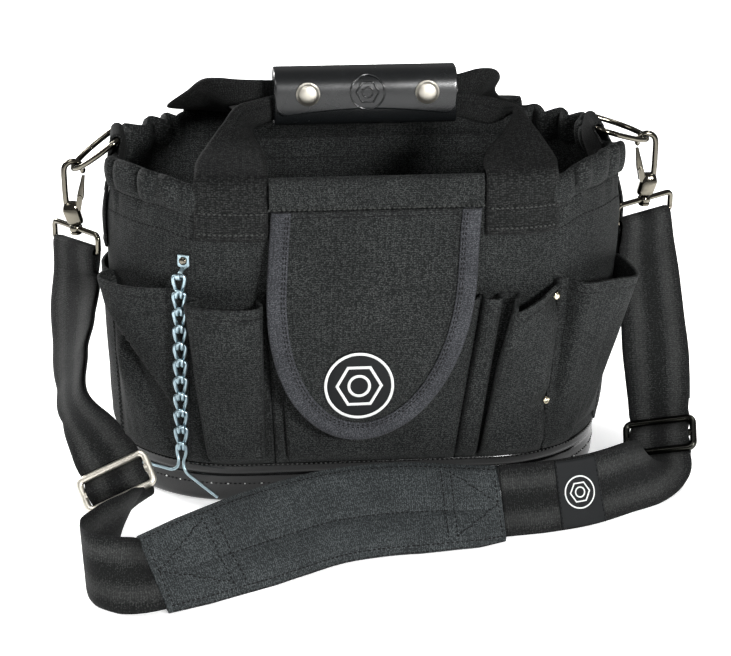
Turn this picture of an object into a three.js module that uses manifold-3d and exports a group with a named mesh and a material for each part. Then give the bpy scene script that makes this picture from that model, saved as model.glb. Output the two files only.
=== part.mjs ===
// Tool bag: a fabric tote with open outside pockets, webbing handles, a shoulder strap and a tape chain.
// Millimetres, +Z up, the front faces -Y, +X is to the right of the front.
// The origin lies under the middle of the base, on the ground.
import * as THREE from "three";
import Module from "manifold-3d";

const wasm = await Module();
wasm.setup();

// Driving sizes of the bag
const SEWN_GAP = 0.5;
const BODY = {
  straightHalf: 85,
  baseHalfLength: 171,
  baseHalfDepth: 87,
  topHalfLength: 180,
  topHalfDepth: 94,
  fullSizeHeight: 190,
  baseShift: -5.5,
  bottom: 30,
  rimFront: 230,
  rimBack: 235,
  wall: 2,
};
const PINCH = { left: 9, right: 19, start: 184, reach: 48, middleDegrees: 95, spreadDegrees: 18 };
const RUFFLE = { depth: 2.6, start: 204, reach: 24, waveDegrees: 30, from: 30, to: 150, tabHalf: 17 };
const PAN = { height: 29.5, wall: 3, floor: 3.2, overBody: 1.5 };
const POCKET = { mouth: 151, bottom: 30.3, cloth: 1.6, seamOffset: 2.3 };
const HEM = { halfLength: 71.2, height: 17.5, thick: 6 };
const FLAP = { top: 212.4, straightEnd: 150, bottom: 57, halfWidth: 68.4, skew: 0.06, cloth: 2 };
const BINDING = { width: 11.5, cloth: 0.9, gap: 0.7 };
const PATCH = { x: -12, z: 94.5, radius: 24, thick: 0.8 };
const HANDLE = { web: 2.4, grip: 4.8, legBottom: 193 };
const WRAP = { halfLength: 63, centerZ: 266, halfTall: 17.2, halfDeep: 14.2, leather: 2.4, layer: 2.9 };
const SNAP_CAP = { radius: 7.8, tall: 3.2, z: 272 };
const TAB = { halfWidth: 17, web: 2, bottom: 166, insideBottom: 214 };
const RING = { wire: 2, barHalf: 20.5 };
const SNAP = { wire: 2.1, bow: 6.5, bowZ: 39, seat: 41.2, barDrop: 16 };
const EYE = { halfWidth: 25.2, wire: 2, corner: 3.6, hole: 2.5, boss: 4.6 };
const STRAP = { width: 48, gathered: 41, web: 1.8, layer: 1.25, turn: 3.6 };
const SLIDE = { halfLength: 27, halfTall: 11, wire: 1.8 };
const PAD = { thick: 9, edge: 3.2 };
const CHAIN = { links: 10, pitch: 12.4, wire: 0.85, topHalf: 3.2, neckHalf: 1.15, wrap: 2.2, offset: 6.6 };

// Colours and surfaces
const SURFACE = {
  fabric: [0x1d1e21, 0.92, 0.0],
  pocketFabric: [0x1b1c1f, 0.92, 0.0],
  vinyl: [0x131416, 0.35, 0.0],
  webbing: [0x1a1918, 0.85, 0.0],
  binding: [0x2b2b30, 0.9, 0.0],
  leather: [0x17191a, 0.5, 0.0],
  nickel: [0xc9c4b8, 0.25, 1.0],
  zinc: [0xa9b9c2, 0.35, 1.0],
  brass: [0xb59a63, 0.35, 1.0],
  padCloth: [0x23272b, 0.92, 0.0],
  patch: [0x141416, 0.8, 0.0],
};

const bag = new THREE.Group();
bag.name = "tool_bag";

function vec(x, y, z) {
  return new THREE.Vector3(x, y, z);
}

function mix(a, b, t) {
  return a + (b - a) * t;
}

function ease(t) {
  const k = Math.min(1, Math.max(0, t));
  return k * k * (3 - 2 * k);
}

function range(count, from, to) {
  return Array.from({ length: count }, (_, i) => mix(from, to, i / (count - 1)));
}

// Value at one place of a table whose first column rises
function lookUp(table, place, column) {
  let k = 0;
  while (k < table.length - 2 && place > table[k + 1][0]) {
    k += 1;
  }
  const [low, high] = [table[k], table[k + 1]];
  const t = Math.min(1, Math.max(0, (place - low[0]) / (high[0] - low[0])));
  return mix(low[column], high[column], t);
}

// One closed solid from points and triangles, turned to face out
function solid(points, faces) {
  let volume = 0;
  for (const [a, b, c] of faces) {
    volume += points[a].dot(points[b].clone().cross(points[c]));
  }
  const flat = [];
  for (const [a, b, c] of faces) {
    const order = volume < 0 ? [a, c, b] : [a, b, c];
    for (const k of order) {
      flat.push(points[k].x, points[k].y, points[k].z);
    }
  }
  const geometry = new THREE.BufferGeometry();
  geometry.setAttribute("position", new THREE.Float32BufferAttribute(flat, 3));
  geometry.computeVertexNormals();
  return geometry;
}

function add(name, geometry, surface) {
  const [color, roughness, metalness] = SURFACE[surface];
  const mesh = new THREE.Mesh(geometry, new THREE.MeshStandardMaterial({ color, roughness, metalness }));
  mesh.name = name;
  bag.add(mesh);
  return mesh;
}

// Cloth: a grid of middle points given a thickness, open at its edges or running all round
function slab(rows, thickness, around = false) {
  const count = rows.length;
  const wide = rows[0].length;
  const points = [];
  for (const side of [1, -1]) {
    for (let i = 0; i < count; i += 1) {
      for (let j = 0; j < wide; j += 1) {
        const down = rows[Math.min(i + 1, count - 1)][j].clone().sub(rows[Math.max(i - 1, 0)][j]);
        const next = around ? (j + 1) % wide : Math.min(j + 1, wide - 1);
        const last = around ? (j + wide - 1) % wide : Math.max(j - 1, 0);
        const across = rows[i][next].clone().sub(rows[i][last]);
        const normal = across.cross(down).normalize();
        const half = (typeof thickness === "function" ? thickness(i, j) : thickness) / 2;
        points.push(rows[i][j].clone().addScaledVector(normal, side * half));
      }
    }
  }
  const at = (side, i, j) => side * count * wide + i * wide + (j % wide);
  const faces = [];
  const quad = (a, b, c, d) => faces.push([a, b, c], [a, c, d]);
  const spans = around ? wide : wide - 1;
  for (let i = 0; i < count - 1; i += 1) {
    for (let j = 0; j < spans; j += 1) {
      quad(at(0, i, j), at(0, i, j + 1), at(0, i + 1, j + 1), at(0, i + 1, j));
      quad(at(1, i, j), at(1, i + 1, j), at(1, i + 1, j + 1), at(1, i, j + 1));
    }
    if (!around) {
      quad(at(0, i, 0), at(0, i + 1, 0), at(1, i + 1, 0), at(1, i, 0));
      quad(at(0, i, wide - 1), at(1, i, wide - 1), at(1, i + 1, wide - 1), at(0, i + 1, wide - 1));
    }
  }
  for (let j = 0; j < spans; j += 1) {
    quad(at(0, 0, j), at(1, 0, j), at(1, 0, j + 1), at(0, 0, j + 1));
    quad(at(0, count - 1, j), at(0, count - 1, j + 1), at(1, count - 1, j + 1), at(1, count - 1, j));
  }
  return solid(points, faces);
}

// A stack of rings of points, closed at both ends by a flat fan
function stack(rings) {
  const wide = rings[0].length;
  const points = rings.flat();
  const faces = [];
  for (let i = 0; i < rings.length - 1; i += 1) {
    for (let j = 0; j < wide; j += 1) {
      const k = (j + 1) % wide;
      faces.push([i * wide + j, i * wide + k, (i + 1) * wide + k]);
      faces.push([i * wide + j, (i + 1) * wide + k, (i + 1) * wide + j]);
    }
  }
  const middle = (ring) => ring.reduce((sum, p) => sum.add(p), vec(0, 0, 0)).divideScalar(wide);
  const first = points.push(middle(rings[0])) - 1;
  const last = points.push(middle(rings[rings.length - 1])) - 1;
  const top = (rings.length - 1) * wide;
  for (let j = 0; j < wide; j += 1) {
    const k = (j + 1) % wide;
    faces.push([first, k, j], [last, top + j, top + k]);
  }
  return solid(points, faces);
}

// A round wire along a line of points, closed on itself or with flat ends
function wire(line, radius, sides, closed = false) {
  const count = line.length;
  const tangents = line.map((p, i) => {
    const next = closed ? line[(i + 1) % count] : line[Math.min(i + 1, count - 1)];
    const last = closed ? line[(i + count - 1) % count] : line[Math.max(i - 1, 0)];
    return next.clone().sub(last).normalize();
  });
  const turn = new THREE.Quaternion();
  const normals = [];
  const start = Math.abs(tangents[0].y) < 0.8 ? vec(0, 1, 0) : vec(1, 0, 0);
  normals.push(start.addScaledVector(tangents[0], -start.dot(tangents[0])).normalize());
  for (let i = 1; i < count; i += 1) {
    turn.setFromUnitVectors(tangents[i - 1], tangents[i]);
    normals.push(normals[i - 1].clone().applyQuaternion(turn));
  }
  let twist = 0;
  if (closed) {
    turn.setFromUnitVectors(tangents[count - 1], tangents[0]);
    const back = normals[count - 1].clone().applyQuaternion(turn);
    twist = Math.atan2(back.clone().cross(normals[0]).dot(tangents[0]), back.dot(normals[0]));
  }
  const rings = line.map((p, i) => {
    const side = tangents[i].clone().cross(normals[i]);
    return range(sides + 1, 0, 2 * Math.PI).slice(0, sides).map((angle) => {
      const a = angle + (twist * i) / count;
      const out = normals[i].clone().multiplyScalar(Math.cos(a)).addScaledVector(side, Math.sin(a));
      return p.clone().addScaledVector(out, radius);
    });
  });
  if (!closed) {
    return stack(rings);
  }
  const points = rings.flat();
  const faces = [];
  for (let i = 0; i < count; i += 1) {
    for (let j = 0; j < sides; j += 1) {
      const [a, b] = [i * sides + j, i * sides + ((j + 1) % sides)];
      const [c, d] = [((i + 1) % count) * sides + ((j + 1) % sides), ((i + 1) % count) * sides + j];
      faces.push([a, b, c], [a, c, d]);
    }
  }
  return solid(points, faces);
}

function toManifold(geometry) {
  const place = geometry.getAttribute("position");
  const seen = new Map();
  const points = [];
  const triangles = [];
  for (let i = 0; i < place.count; i += 1) {
    const key = [place.getX(i), place.getY(i), place.getZ(i)].map((v) => Math.round(v * 1000)).join(" ");
    if (!seen.has(key)) {
      seen.set(key, points.length / 3);
      points.push(place.getX(i), place.getY(i), place.getZ(i));
    }
    triangles.push(seen.get(key));
  }
  const mesh = { numProp: 3, vertProperties: new Float32Array(points), triVerts: new Uint32Array(triangles) };
  return new wasm.Manifold(new wasm.Mesh(mesh));
}

function fromManifold(made) {
  const mesh = made.getMesh();
  const points = [];
  for (let i = 0; i < mesh.vertProperties.length; i += mesh.numProp) {
    points.push(vec(...mesh.vertProperties.slice(i, i + 3)));
  }
  const faces = [];
  for (let i = 0; i < mesh.triVerts.length; i += 3) {
    faces.push([...mesh.triVerts.slice(i, i + 3)]);
  }
  return solid(points, faces);
}

// Several overlapping solids joined into one
function joined(geometries) {
  return fromManifold(wasm.Manifold.union(geometries.map(toManifold)));
}

// The wall's outline: w is 0 at the middle of the front, 1 at the right end, -1 at the left end, 2 at the back
function bodySize(z) {
  const grown = ease(z / BODY.fullSizeHeight);
  return {
    halfLength: mix(BODY.baseHalfLength, BODY.topHalfLength, grown),
    halfDepth: mix(BODY.baseHalfDepth, BODY.topHalfDepth, grown),
    shift: BODY.baseShift * (1 - grown),
  };
}

function turnDegrees(w) {
  return Math.min(180, Math.max(0, (Math.abs(w) - 0.5) * 180));
}

function wallPoint(place, z, offset) {
  const w = place > 2 ? place - 4 : place;
  const { halfLength, halfDepth, shift } = bodySize(z);
  const side = Math.sign(w) || 1;
  const degrees = turnDegrees(w);
  const turn = THREE.MathUtils.degToRad(degrees);
  const endReach = halfLength - BODY.straightHalf;
  const straight = Math.abs(w) <= 0.5 ? 2 * w : 2 * side * (2 - Math.abs(w));
  const flat = Math.abs(w) <= 0.5 || Math.abs(w) >= 1.5;
  const x = flat ? straight * BODY.straightHalf : side * (BODY.straightHalf + endReach * Math.sin(turn));
  const out = vec(flat ? 0 : (side * Math.sin(turn)) / endReach, -Math.cos(turn) / halfDepth, 0).normalize();
  const pull = side < 0 ? PINCH.left : PINCH.right;
  const near = Math.exp(-(((degrees - PINCH.middleDegrees) / PINCH.spreadDegrees) ** 2));
  const pinch = -side * pull * near * ease((z - PINCH.start) / PINCH.reach);
  return vec(x + pinch + shift, -halfDepth * Math.cos(turn), z).addScaledVector(out, offset);
}

function ruffle(w, z) {
  const degrees = turnDegrees(w);
  const inside = degrees > RUFFLE.from && degrees < RUFFLE.to && Math.abs(degrees - 90) > RUFFLE.tabHalf;
  const wave = Math.sin((2 * Math.PI * (degrees - RUFFLE.from)) / RUFFLE.waveDegrees);
  return inside ? RUFFLE.depth * wave * ease((z - RUFFLE.start) / RUFFLE.reach) : 0;
}

function rimHeight(w) {
  const turn = THREE.MathUtils.degToRad(turnDegrees(w));
  return mix(BODY.rimFront, BODY.rimBack, (1 - Math.cos(turn)) / 2);
}

// Outline place of a front point that lies x to the side of the middle
function frontPlace(x, z) {
  if (Math.abs(x) <= BODY.straightHalf) {
    return x / (2 * BODY.straightHalf);
  }
  const reach = bodySize(z).halfLength - BODY.straightHalf;
  const degrees = THREE.MathUtils.radToDeg(Math.asin((Math.abs(x) - BODY.straightHalf) / reach));
  return Math.sign(x) * (0.5 + degrees / 180);
}

const ROUND = [
  ...range(5, -0.5, 0.5).slice(0, 4),
  ...range(25, 0.5, 1.5).slice(0, 24),
  ...range(5, 1.5, 2.5).slice(0, 4),
  ...range(25, 2.5, 3.5).slice(0, 24),
];

function buildBase() {
  const base = [
    [-5 + PAN.overBody, 0],
    [-1.5 + PAN.overBody, 1.6],
    [PAN.overBody, 6],
    [PAN.overBody + 0.6, PAN.height],
    [PAN.overBody + 0.6 - PAN.wall, PAN.height],
    [PAN.overBody - PAN.wall, 8],
    [PAN.overBody - PAN.wall - 5, PAN.floor],
  ];
  const rings = base.map(([offset, z]) => ROUND.map((w) => wallPoint(w, 0, offset).setZ(z)));
  add("base_pan", stack(rings), "vinyl");
}

function buildWall() {
  const heights = [0, 0.16, 0.36, 0.58, 0.78, 0.86, 0.93, 1];
  const rows = heights.map((share) =>
    ROUND.map((w) => {
      const z = mix(BODY.bottom, rimHeight(w > 2 ? w - 4 : w), share);
      return wallPoint(w, z, ruffle(w > 2 ? w - 4 : w, z));
    }),
  );
  add("body_wall", slab(rows, BODY.wall, true), "fabric");
}

// A rolled hem: a rounded bar on the outside of the rim
function buildHem(name, side, top) {
  const face = BODY.topHalfDepth + BODY.wall / 2 + SEWN_GAP;
  const section = [
    [0, 0], [0.55, 0.02], [0.85, 0.2], [1, 0.55], [0.9, 0.85], [0.55, 1], [0.15, 1], [0, 0.9],
  ];
  const low = top - HEM.height;
  const rings = range(5, -HEM.halfLength, HEM.halfLength).map((x) =>
    section.map(([out, up]) => vec(x, side * (face + out * HEM.thick), low + up * HEM.height)),
  );
  add(name, stack(rings), "fabric");
}

// Pocket folds: place across when flat, place across when open, share of the bulge
const PLEATED = [
  [0, 0, 0], [0.09, 0.1, 0.05], [0.14, 0.12, 0.78], [0.24, 0.22, 1], [0.5, 0.5, 1.05],
  [0.76, 0.8, 1], [0.88, 0.95, 0.8], [0.93, 0.9, 0.06], [1, 1, 0],
];
const WIDE_PLEATED = [
  [0, 0, 0], [0.04, 0.06, 0.06], [0.07, 0.045, 0.75], [0.14, 0.12, 1], [0.34, 0.33, 1.1], [0.5, 0.5, 1.12],
  [0.66, 0.67, 1.1], [0.86, 0.88, 1], [0.93, 0.955, 0.75], [0.96, 0.94, 0.06], [1, 1, 0],
];
const CORNER = [
  [0, 0, 0], [0.09, 0.09, 0.04], [0.3, 0.28, 0.42], [0.5, 0.5, 0.78], [0.68, 0.7, 0.99], [0.74, 0.76, 1],
  [0.82, 0.86, 0.66], [0.92, 0.95, 0.2], [1, 1, 0],
];
const PLAIN = range(13, 0, 1).map((share) => [share, share, Math.sin(Math.PI * share)]);

// A pocket: from one seam to the other, each seam given by its outline place at the mouth and at the bottom
function buildPocket(name, from, to, bulge, folds) {
  const rows = [0, 0.1, 0.3, 0.55, 0.8, 1].map((share) => {
    const z = mix(POCKET.bottom, POCKET.mouth, share);
    const open = Math.sqrt(share) * (0.55 + 0.45 * share);
    const left = mix(from[1], from[0], share);
    const right = mix(to[1], to[0], share);
    return folds.map(([flat, opened, rise]) =>
      wallPoint(mix(left, right, mix(flat, opened, open)), z, POCKET.seamOffset + bulge * open * rise),
    );
  });
  add(name, slab(rows, POCKET.cloth), "pocketFabric");
}

// Outline places of the seams, at the mouth and at the bottom
const seamPair = (top, low) => [frontPlace(top, POCKET.mouth), frontPlace(low, POCKET.bottom)];
const gapPlace = 0.0035;
const SEAM = {
  centerLeft: seamPair(-74, -64),
  centerRight: seamPair(72, 60),
  frontRight: seamPair(93, 74),
  chain: seamPair(-127, -124),
  rivet: seamPair(123, 121),
  leftEnd: [-0.5 - 73 / 180, -0.5 - 70 / 180],
  rightEnd: [0.5 + 73 / 180, 0.5 + 70 / 180],
  leftBack: [-0.5 - 107 / 180, -0.5 - 110 / 180],
  rightBack: [0.5 + 107 / 180, 0.5 + 110 / 180],
  backRight: [1.576, 1.62],
  backLeft: [2.424, 2.38],
};
const after = (seam) => seam.map((w) => w + gapPlace);
const before = (seam) => seam.map((w) => w - gapPlace);

function buildPockets() {
  const around = (seam) => seam.map((w) => w + 4);
  buildPocket("pocket_front_center", after(SEAM.centerLeft), before(SEAM.centerRight), 8.5, WIDE_PLEATED);
  buildPocket("pocket_front_left", after(SEAM.chain), before(SEAM.centerLeft), 14, PLEATED);
  buildPocket("pocket_front_right", after(SEAM.centerRight), before(SEAM.rivet), 14, RIGHT_PLEATED);
  buildPocket("pocket_corner_left", before(SEAM.chain), after(SEAM.leftEnd), 18, CORNER);
  buildPocket("pocket_corner_right", after(SEAM.rivet), before(SEAM.rightEnd), 20, CORNER);
  buildPocket("pocket_end_left", before(SEAM.leftEnd), after(SEAM.leftBack), 3, PLAIN);
  buildPocket("pocket_end_right", after(SEAM.rightEnd), before(SEAM.rightBack), 3, PLAIN);
  buildPocket("pocket_back_right", after(SEAM.rightBack), before(SEAM.backRight), 13, PLAIN);
  buildPocket("pocket_back_center", after(SEAM.backRight), before(SEAM.backLeft), 9, WIDE_PLEATED);
  buildPocket("pocket_back_left", after(SEAM.backLeft), before(around(SEAM.leftBack)), 13, PLAIN);
}

// The right front pocket has a flat strip beside the middle pocket, then a pleat, then its own panel
const RIGHT_PLEATED = [
  [0, 0, 0], [0.2, 0.22, 0.08], [0.3, 0.4, 0.1], [0.34, 0.44, 0.12], [0.38, 0.4, 0.85], [0.46, 0.47, 1],
  [0.66, 0.66, 0.95], [0.86, 0.86, 0.5], [1, 1, 0],
];

// Flap: how far its middle stands from the centre plane, by height
const FLAP_STAND = [
  [50, 110], [100, 111.5], [150, 109], [172, 105.5], [200, 99.2], [214, 98.3],
];

function flapHalfWidth(z) {
  if (z >= FLAP.straightEnd) {
    return FLAP.halfWidth;
  }
  const drop = (FLAP.straightEnd - z) / (FLAP.straightEnd - FLAP.bottom);
  return FLAP.halfWidth * Math.sqrt(Math.max(0, 1 - drop ** 2.3));
}

function flapPoint(x, z, lift) {
  const slope = lookUp(FLAP_STAND, z + 2, 1) - lookUp(FLAP_STAND, z - 2, 1);
  const out = vec(0, -4, -slope).normalize();
  const sideways = x - FLAP.skew * (FLAP.top - z);
  return vec(sideways, -lookUp(FLAP_STAND, z, 1), z).addScaledVector(out, lift);
}

function buildFlap() {
  const depth = FLAP.straightEnd - FLAP.bottom;
  const curved = [0.14, 0.28, 0.42, 0.55, 0.67, 0.78, 0.87, 0.94, 0.98, 0.996]
    .map((share) => FLAP.straightEnd - depth * share);
  const heights = [FLAP.top, 200, 186, 172, FLAP.straightEnd, ...curved];
  const rows = heights.map((z) => range(9, -1, 1).map((share) => flapPoint(share * flapHalfWidth(z), z, 0)));
  add("flap", slab(rows, FLAP.cloth), "fabric");

  // The binding folds over the edge: reach in from the edge, lift from the flap's middle
  const lift = FLAP.cloth / 2 + BINDING.gap + BINDING.cloth / 2;
  const fold = [
    [BINDING.width, lift], [1.2, lift], [-1.1, lift * 0.45],
    [-1.1, -lift * 0.45], [1.2, -lift], [BINDING.width, -lift],
  ];
  const leftEdge = heights.map((z) => [-flapHalfWidth(z), z]);
  const rightEdge = heights.map((z) => [flapHalfWidth(z), z]).reverse();
  const edge = [...leftEdge, [0, FLAP.bottom], ...rightEdge];
  const bindingRows = edge.map(([x, z], i) => {
    const [next, last] = [edge[Math.min(i + 1, edge.length - 1)], edge[Math.max(i - 1, 0)]];
    const along = new THREE.Vector2(next[0] - last[0], next[1] - last[1]).normalize();
    return fold.map(([reach, up]) => flapPoint(x - along.y * reach, z + along.x * reach, up));
  });
  add("flap_binding", slab(bindingRows, BINDING.cloth), "binding");

  const patchLift = FLAP.cloth / 2 + SEWN_GAP + 0.35;
  const rim = range(25, 0, 2 * Math.PI).slice(0, 24);
  const disc = (up) =>
    rim.map((a) => {
      const z = PATCH.z + PATCH.radius * Math.sin(a);
      const x = PATCH.x + FLAP.skew * (FLAP.top - z) + PATCH.radius * Math.cos(a);
      return flapPoint(x, z, up);
    });
  add("flap_patch", stack([disc(patchLift), disc(patchLift + PATCH.thick)]), "patch");
}

// Handle leg from the rim to the grip: outer edge x on the left and right, its y and z, then the inner edge
const FRONT_LEG = [
  [121, 124, -88.5, 234.6, 72, 74, -96, 234.4],
  [119, 123, -75, 239, 73, 76, -80, 238.5],
  [113, 118, -58, 245, 76, 80, -60, 244],
  [104, 111, -40, 252, 81, 88, -39, 249],
  [91, 102, -20, 260, 84, 93, -19, 249.5],
  [79, 88, -10, 266, 78, 86, -10, 251],
  [64, 64, -6.7, 269, 64, 64, -6.7, 252],
  [32, 32, -6.5, 269.5, 32, 32, -6.5, 252.5],
  [0, 0, -6.5, 270, 0, 0, -6.5, 253],
];
const BACK_LEG = [
  [124, 124, -88.5, 239.8, 74, 74, -96, 239.6],
  [131, 119, -75, 243.5, 78, 73, -80, 244],
  [137, 110, -57, 248.5, 86, 74, -59, 251],
  [130, 101, -38, 258, 92, 77, -39, 256],
  [116, 93, -18, 271, 98, 82, -19, 258],
  [90, 82, -9, 275, 88, 80, -9, 258.5],
  [64, 64, -6.7, 275.5, 64, 64, -6.7, 258.5],
  [32, 32, -6.5, 276, 32, 32, -6.5, 259],
  [0, 0, -6.5, 276.5, 0, 0, -6.5, 259.5],
];

function handleHalf(side, leg, hand) {
  const lift = BODY.wall / 2 + SEWN_GAP + HANDLE.web / 2;
  const across = range(5, 0, 1);
  const rim = (side < 0 ? BODY.rimFront : BODY.rimBack) - 0.4;
  const column = hand < 0 ? 0 : 1;
  const sewn = [HANDLE.legBottom, 206, 219, rim].map((z) =>
    across.map((share) => {
      const x = hand * mix(leg[0][column], leg[0][4 + column], share);
      const p = wallPoint(frontPlace(x, z), z, lift);
      return vec(p.x, -side * p.y, z);
    }),
  );
  const free = leg.map((row) =>
    across.map((share) => {
      const x = hand * mix(row[column], row[4 + column], share);
      return vec(x, -side * mix(row[2], row[6], share), mix(row[3], row[7], share));
    }),
  );
  return [...sewn, ...free];
}

function buildHandle(name, side, leg) {
  const right = handleHalf(side, leg, 1);
  const left = handleHalf(side, leg, -1).slice(0, -1);
  const thick = right.map((row, k) => mix(HANDLE.web, HANDLE.grip, ease((k - 6) / 3)));
  const depth = [...thick, ...thick.slice(0, -1).reverse()];
  add(name, slab([...right, ...left.reverse()], (i) => depth[i]), "webbing");
}

// The leather wrap: one turn and a half round both grips, its free edge hanging down the front
function wrapPoint(x, turns, end) {
  const angle = 2 * Math.PI * turns;
  const grown = WRAP.layer * turns;
  const power = 2 / 3.2;
  const [c, s] = [Math.cos(angle), Math.sin(angle)];
  const y = -(WRAP.halfDeep + grown) * Math.sign(c) * Math.abs(c) ** power;
  const z = WRAP.centerZ - (WRAP.halfTall + grown) * Math.sign(s) * Math.abs(s) ** power;
  return vec(x, y + end, z);
}

function buildWrap() {
  const stations = [-1, -0.93, -0.5, 0, 0.5, 0.93, 1];
  const rows = stations.map((share) => {
    const x = share * WRAP.halfLength;
    const corner = Math.abs(share) > 0.95 ? 0.035 : 0;
    const arch = 0.012 * (1 - share * share);
    const finish = 1.11 - corner - arch;
    return range(27, -0.06, finish).map((turns) => wrapPoint(x, turns, 0));
  });
  add("handle_wrap", slab(rows, WRAP.leather), "leather");
  const face = wrapPoint(0, 0.985, 0).y - WRAP.leather / 2 - 0.35;
  for (const [name, x] of [["wrap_snap_left", -40], ["wrap_snap_right", 42]]) {
    const profile = [[0, 0], [0.8, 0], [1, 0.2], [0.94, 0.5], [0.7, 0.82], [0.35, 0.97], [0, 1]].map(
      ([r, h]) => new THREE.Vector2(r * SNAP_CAP.radius, h * SNAP_CAP.tall),
    );
    const cap = new THREE.LatheGeometry(profile, 14).rotateX(Math.PI);
    cap.translate(x, face, SNAP_CAP.z);
    add(name, cap, "nickel");
  }
}

// Loops of webbing at the ends of the rim, each round the straight bar of a D-ring
const END = {
  left: { side: -1, barZ: 242, tipX: -202.5, tipZ: 219, hangY: 0 },
  right: { side: 1, barZ: 243, tipX: 200.3, tipZ: 231, hangY: -6 },
};

// Middle of the D-ring's bow at one place across, and the foot of the snap hook that hangs from it
function bowPoint({ side, barZ, tipX, tipZ }, y) {
  const rim = wallPoint(side, rimHeight(side), 0).x;
  const turn = Math.asin(Math.min(1, Math.abs(y) / RING.barHalf));
  const out = Math.abs(y) >= RING.barHalf ? 0.1 : 0.16 + 0.84 * Math.cos(turn) ** 0.8;
  return vec(mix(rim, tipX, out), y, mix(barZ, tipZ, out));
}

function snapFoot(end) {
  return bowPoint(end, end.hangY).sub(vec(0, 0, SNAP.seat));
}

function buildEnd(label, end) {
  const { side, barZ } = end;
  const turnRadius = RING.wire + 0.5 + TAB.web / 2;
  const rim = wallPoint(side, rimHeight(side), 0).x;
  const columns = range(5, -TAB.halfWidth, TAB.halfWidth);
  const wallX = (y, z) => {
    const degrees = THREE.MathUtils.radToDeg(Math.acos(-y / bodySize(z).halfDepth));
    return wallPoint(side * (0.5 + degrees / 180), z, 0).x;
  };
  const clear = BODY.wall / 2 + SEWN_GAP + TAB.web / 2;
  const rows = [];
  for (const z of [TAB.bottom, 188, 204, 218, 231]) {
    rows.push(columns.map((y) => vec(wallX(y, z) + side * (clear + 0.8 * ease((z - 170) / 30)), y, z)));
  }
  for (const turn of range(7, 0, Math.PI)) {
    const [out, up] = [Math.cos(turn) * turnRadius, Math.sin(turn) * turnRadius];
    rows.push(columns.map((y) => vec(rim + side * out, y, barZ + up)));
  }
  for (const z of [231, TAB.insideBottom]) {
    rows.push(columns.map((y) => vec(wallX(y, z) - side * (clear + 0.8), y, z)));
  }
  add(`ring_tab_${label}`, slab(rows, TAB.web), "webbing");

  // D-ring: a straight bar in the loop and a bow out to the tip
  const bow = range(19, -90, 90).map((degrees) =>
    bowPoint(end, RING.barHalf * Math.sin(THREE.MathUtils.degToRad(degrees))),
  );
  const bar = range(4, RING.barHalf - 2, 2 - RING.barHalf).map((y) => vec(rim, y, barZ));
  add(`d_ring_${label}`, wire([...bow, ...bar], RING.wire, 7, true), "nickel");
  buildSnap(label, side, snapFoot(end));
}

// Swivel snap hook: the bow hangs on the ring, a sprung gate closes it, an eye for the strap turns below
function buildSnap(label, side, foot) {
  const place = (x, y, z) => vec(foot.x + side * x, foot.y + y, foot.z + z);
  const bow = range(9, 0, 200).map((degrees) => {
    const turn = THREE.MathUtils.degToRad(degrees);
    return place(SNAP.bow * Math.cos(turn), 0, SNAP.bowZ + SNAP.bow * Math.sin(turn));
  });
  const hook = wire([place(5.4, 0, 9), place(6.3, 0, 22), place(SNAP.bow, 0, 31), ...bow], SNAP.wire, 8);
  const blockRings = [[0, 3.4, 3.4], [2, 5.6, 4.6], [10, 6.2, 4.8], [14.5, 5, 4], [16.5, 4, 3]];
  const block = blockRings.map(([z, long, deep]) =>
    range(13, 0, 2 * Math.PI).slice(0, 12).map((a) => {
      const [c, s] = [Math.cos(a), Math.sin(a)];
      const x = long * Math.sign(c) * Math.abs(c) ** 0.6;
      return place(x + 2.6 * ease(z / 12), deep * Math.sign(s) * Math.abs(s) ** 0.6, z);
    }),
  );
  const ring = (radius, z) => range(13, 0, 2 * Math.PI).slice(0, 12)
    .map((a) => place(radius * Math.cos(a), radius * Math.sin(a), z));
  const post = stack([ring(2.1, 1), ring(2.1, -5.3), ring(4, -5.3), ring(3.6, -7.2)]);
  add(`snap_body_${label}`, joined([hook, stack(block), post]), "nickel");

  const gate = [[17.2, 1.6, 2], [21, 2.5, 2.2], [27, 2, 2], [33, 1.3, 1.5]].map(([z, wide, deep]) => {
    const lean = mix(-3.6, -SNAP.bow + 0.2, (z - 17.2) / 15.8);
    return [[-1, -1], [1, -1], [1, 1], [-1, 1]].map(([u, v]) => place(lean + u * wide, v * deep, z));
  });
  add(`snap_gate_${label}`, stack(gate), "nickel");
  buildEye(label, foot);
}

// Directions across the strap at the two eyes
const ACROSS = { left: vec(0.62, -0.78, 0), right: vec(0.7, 0.71, 0) };

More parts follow.
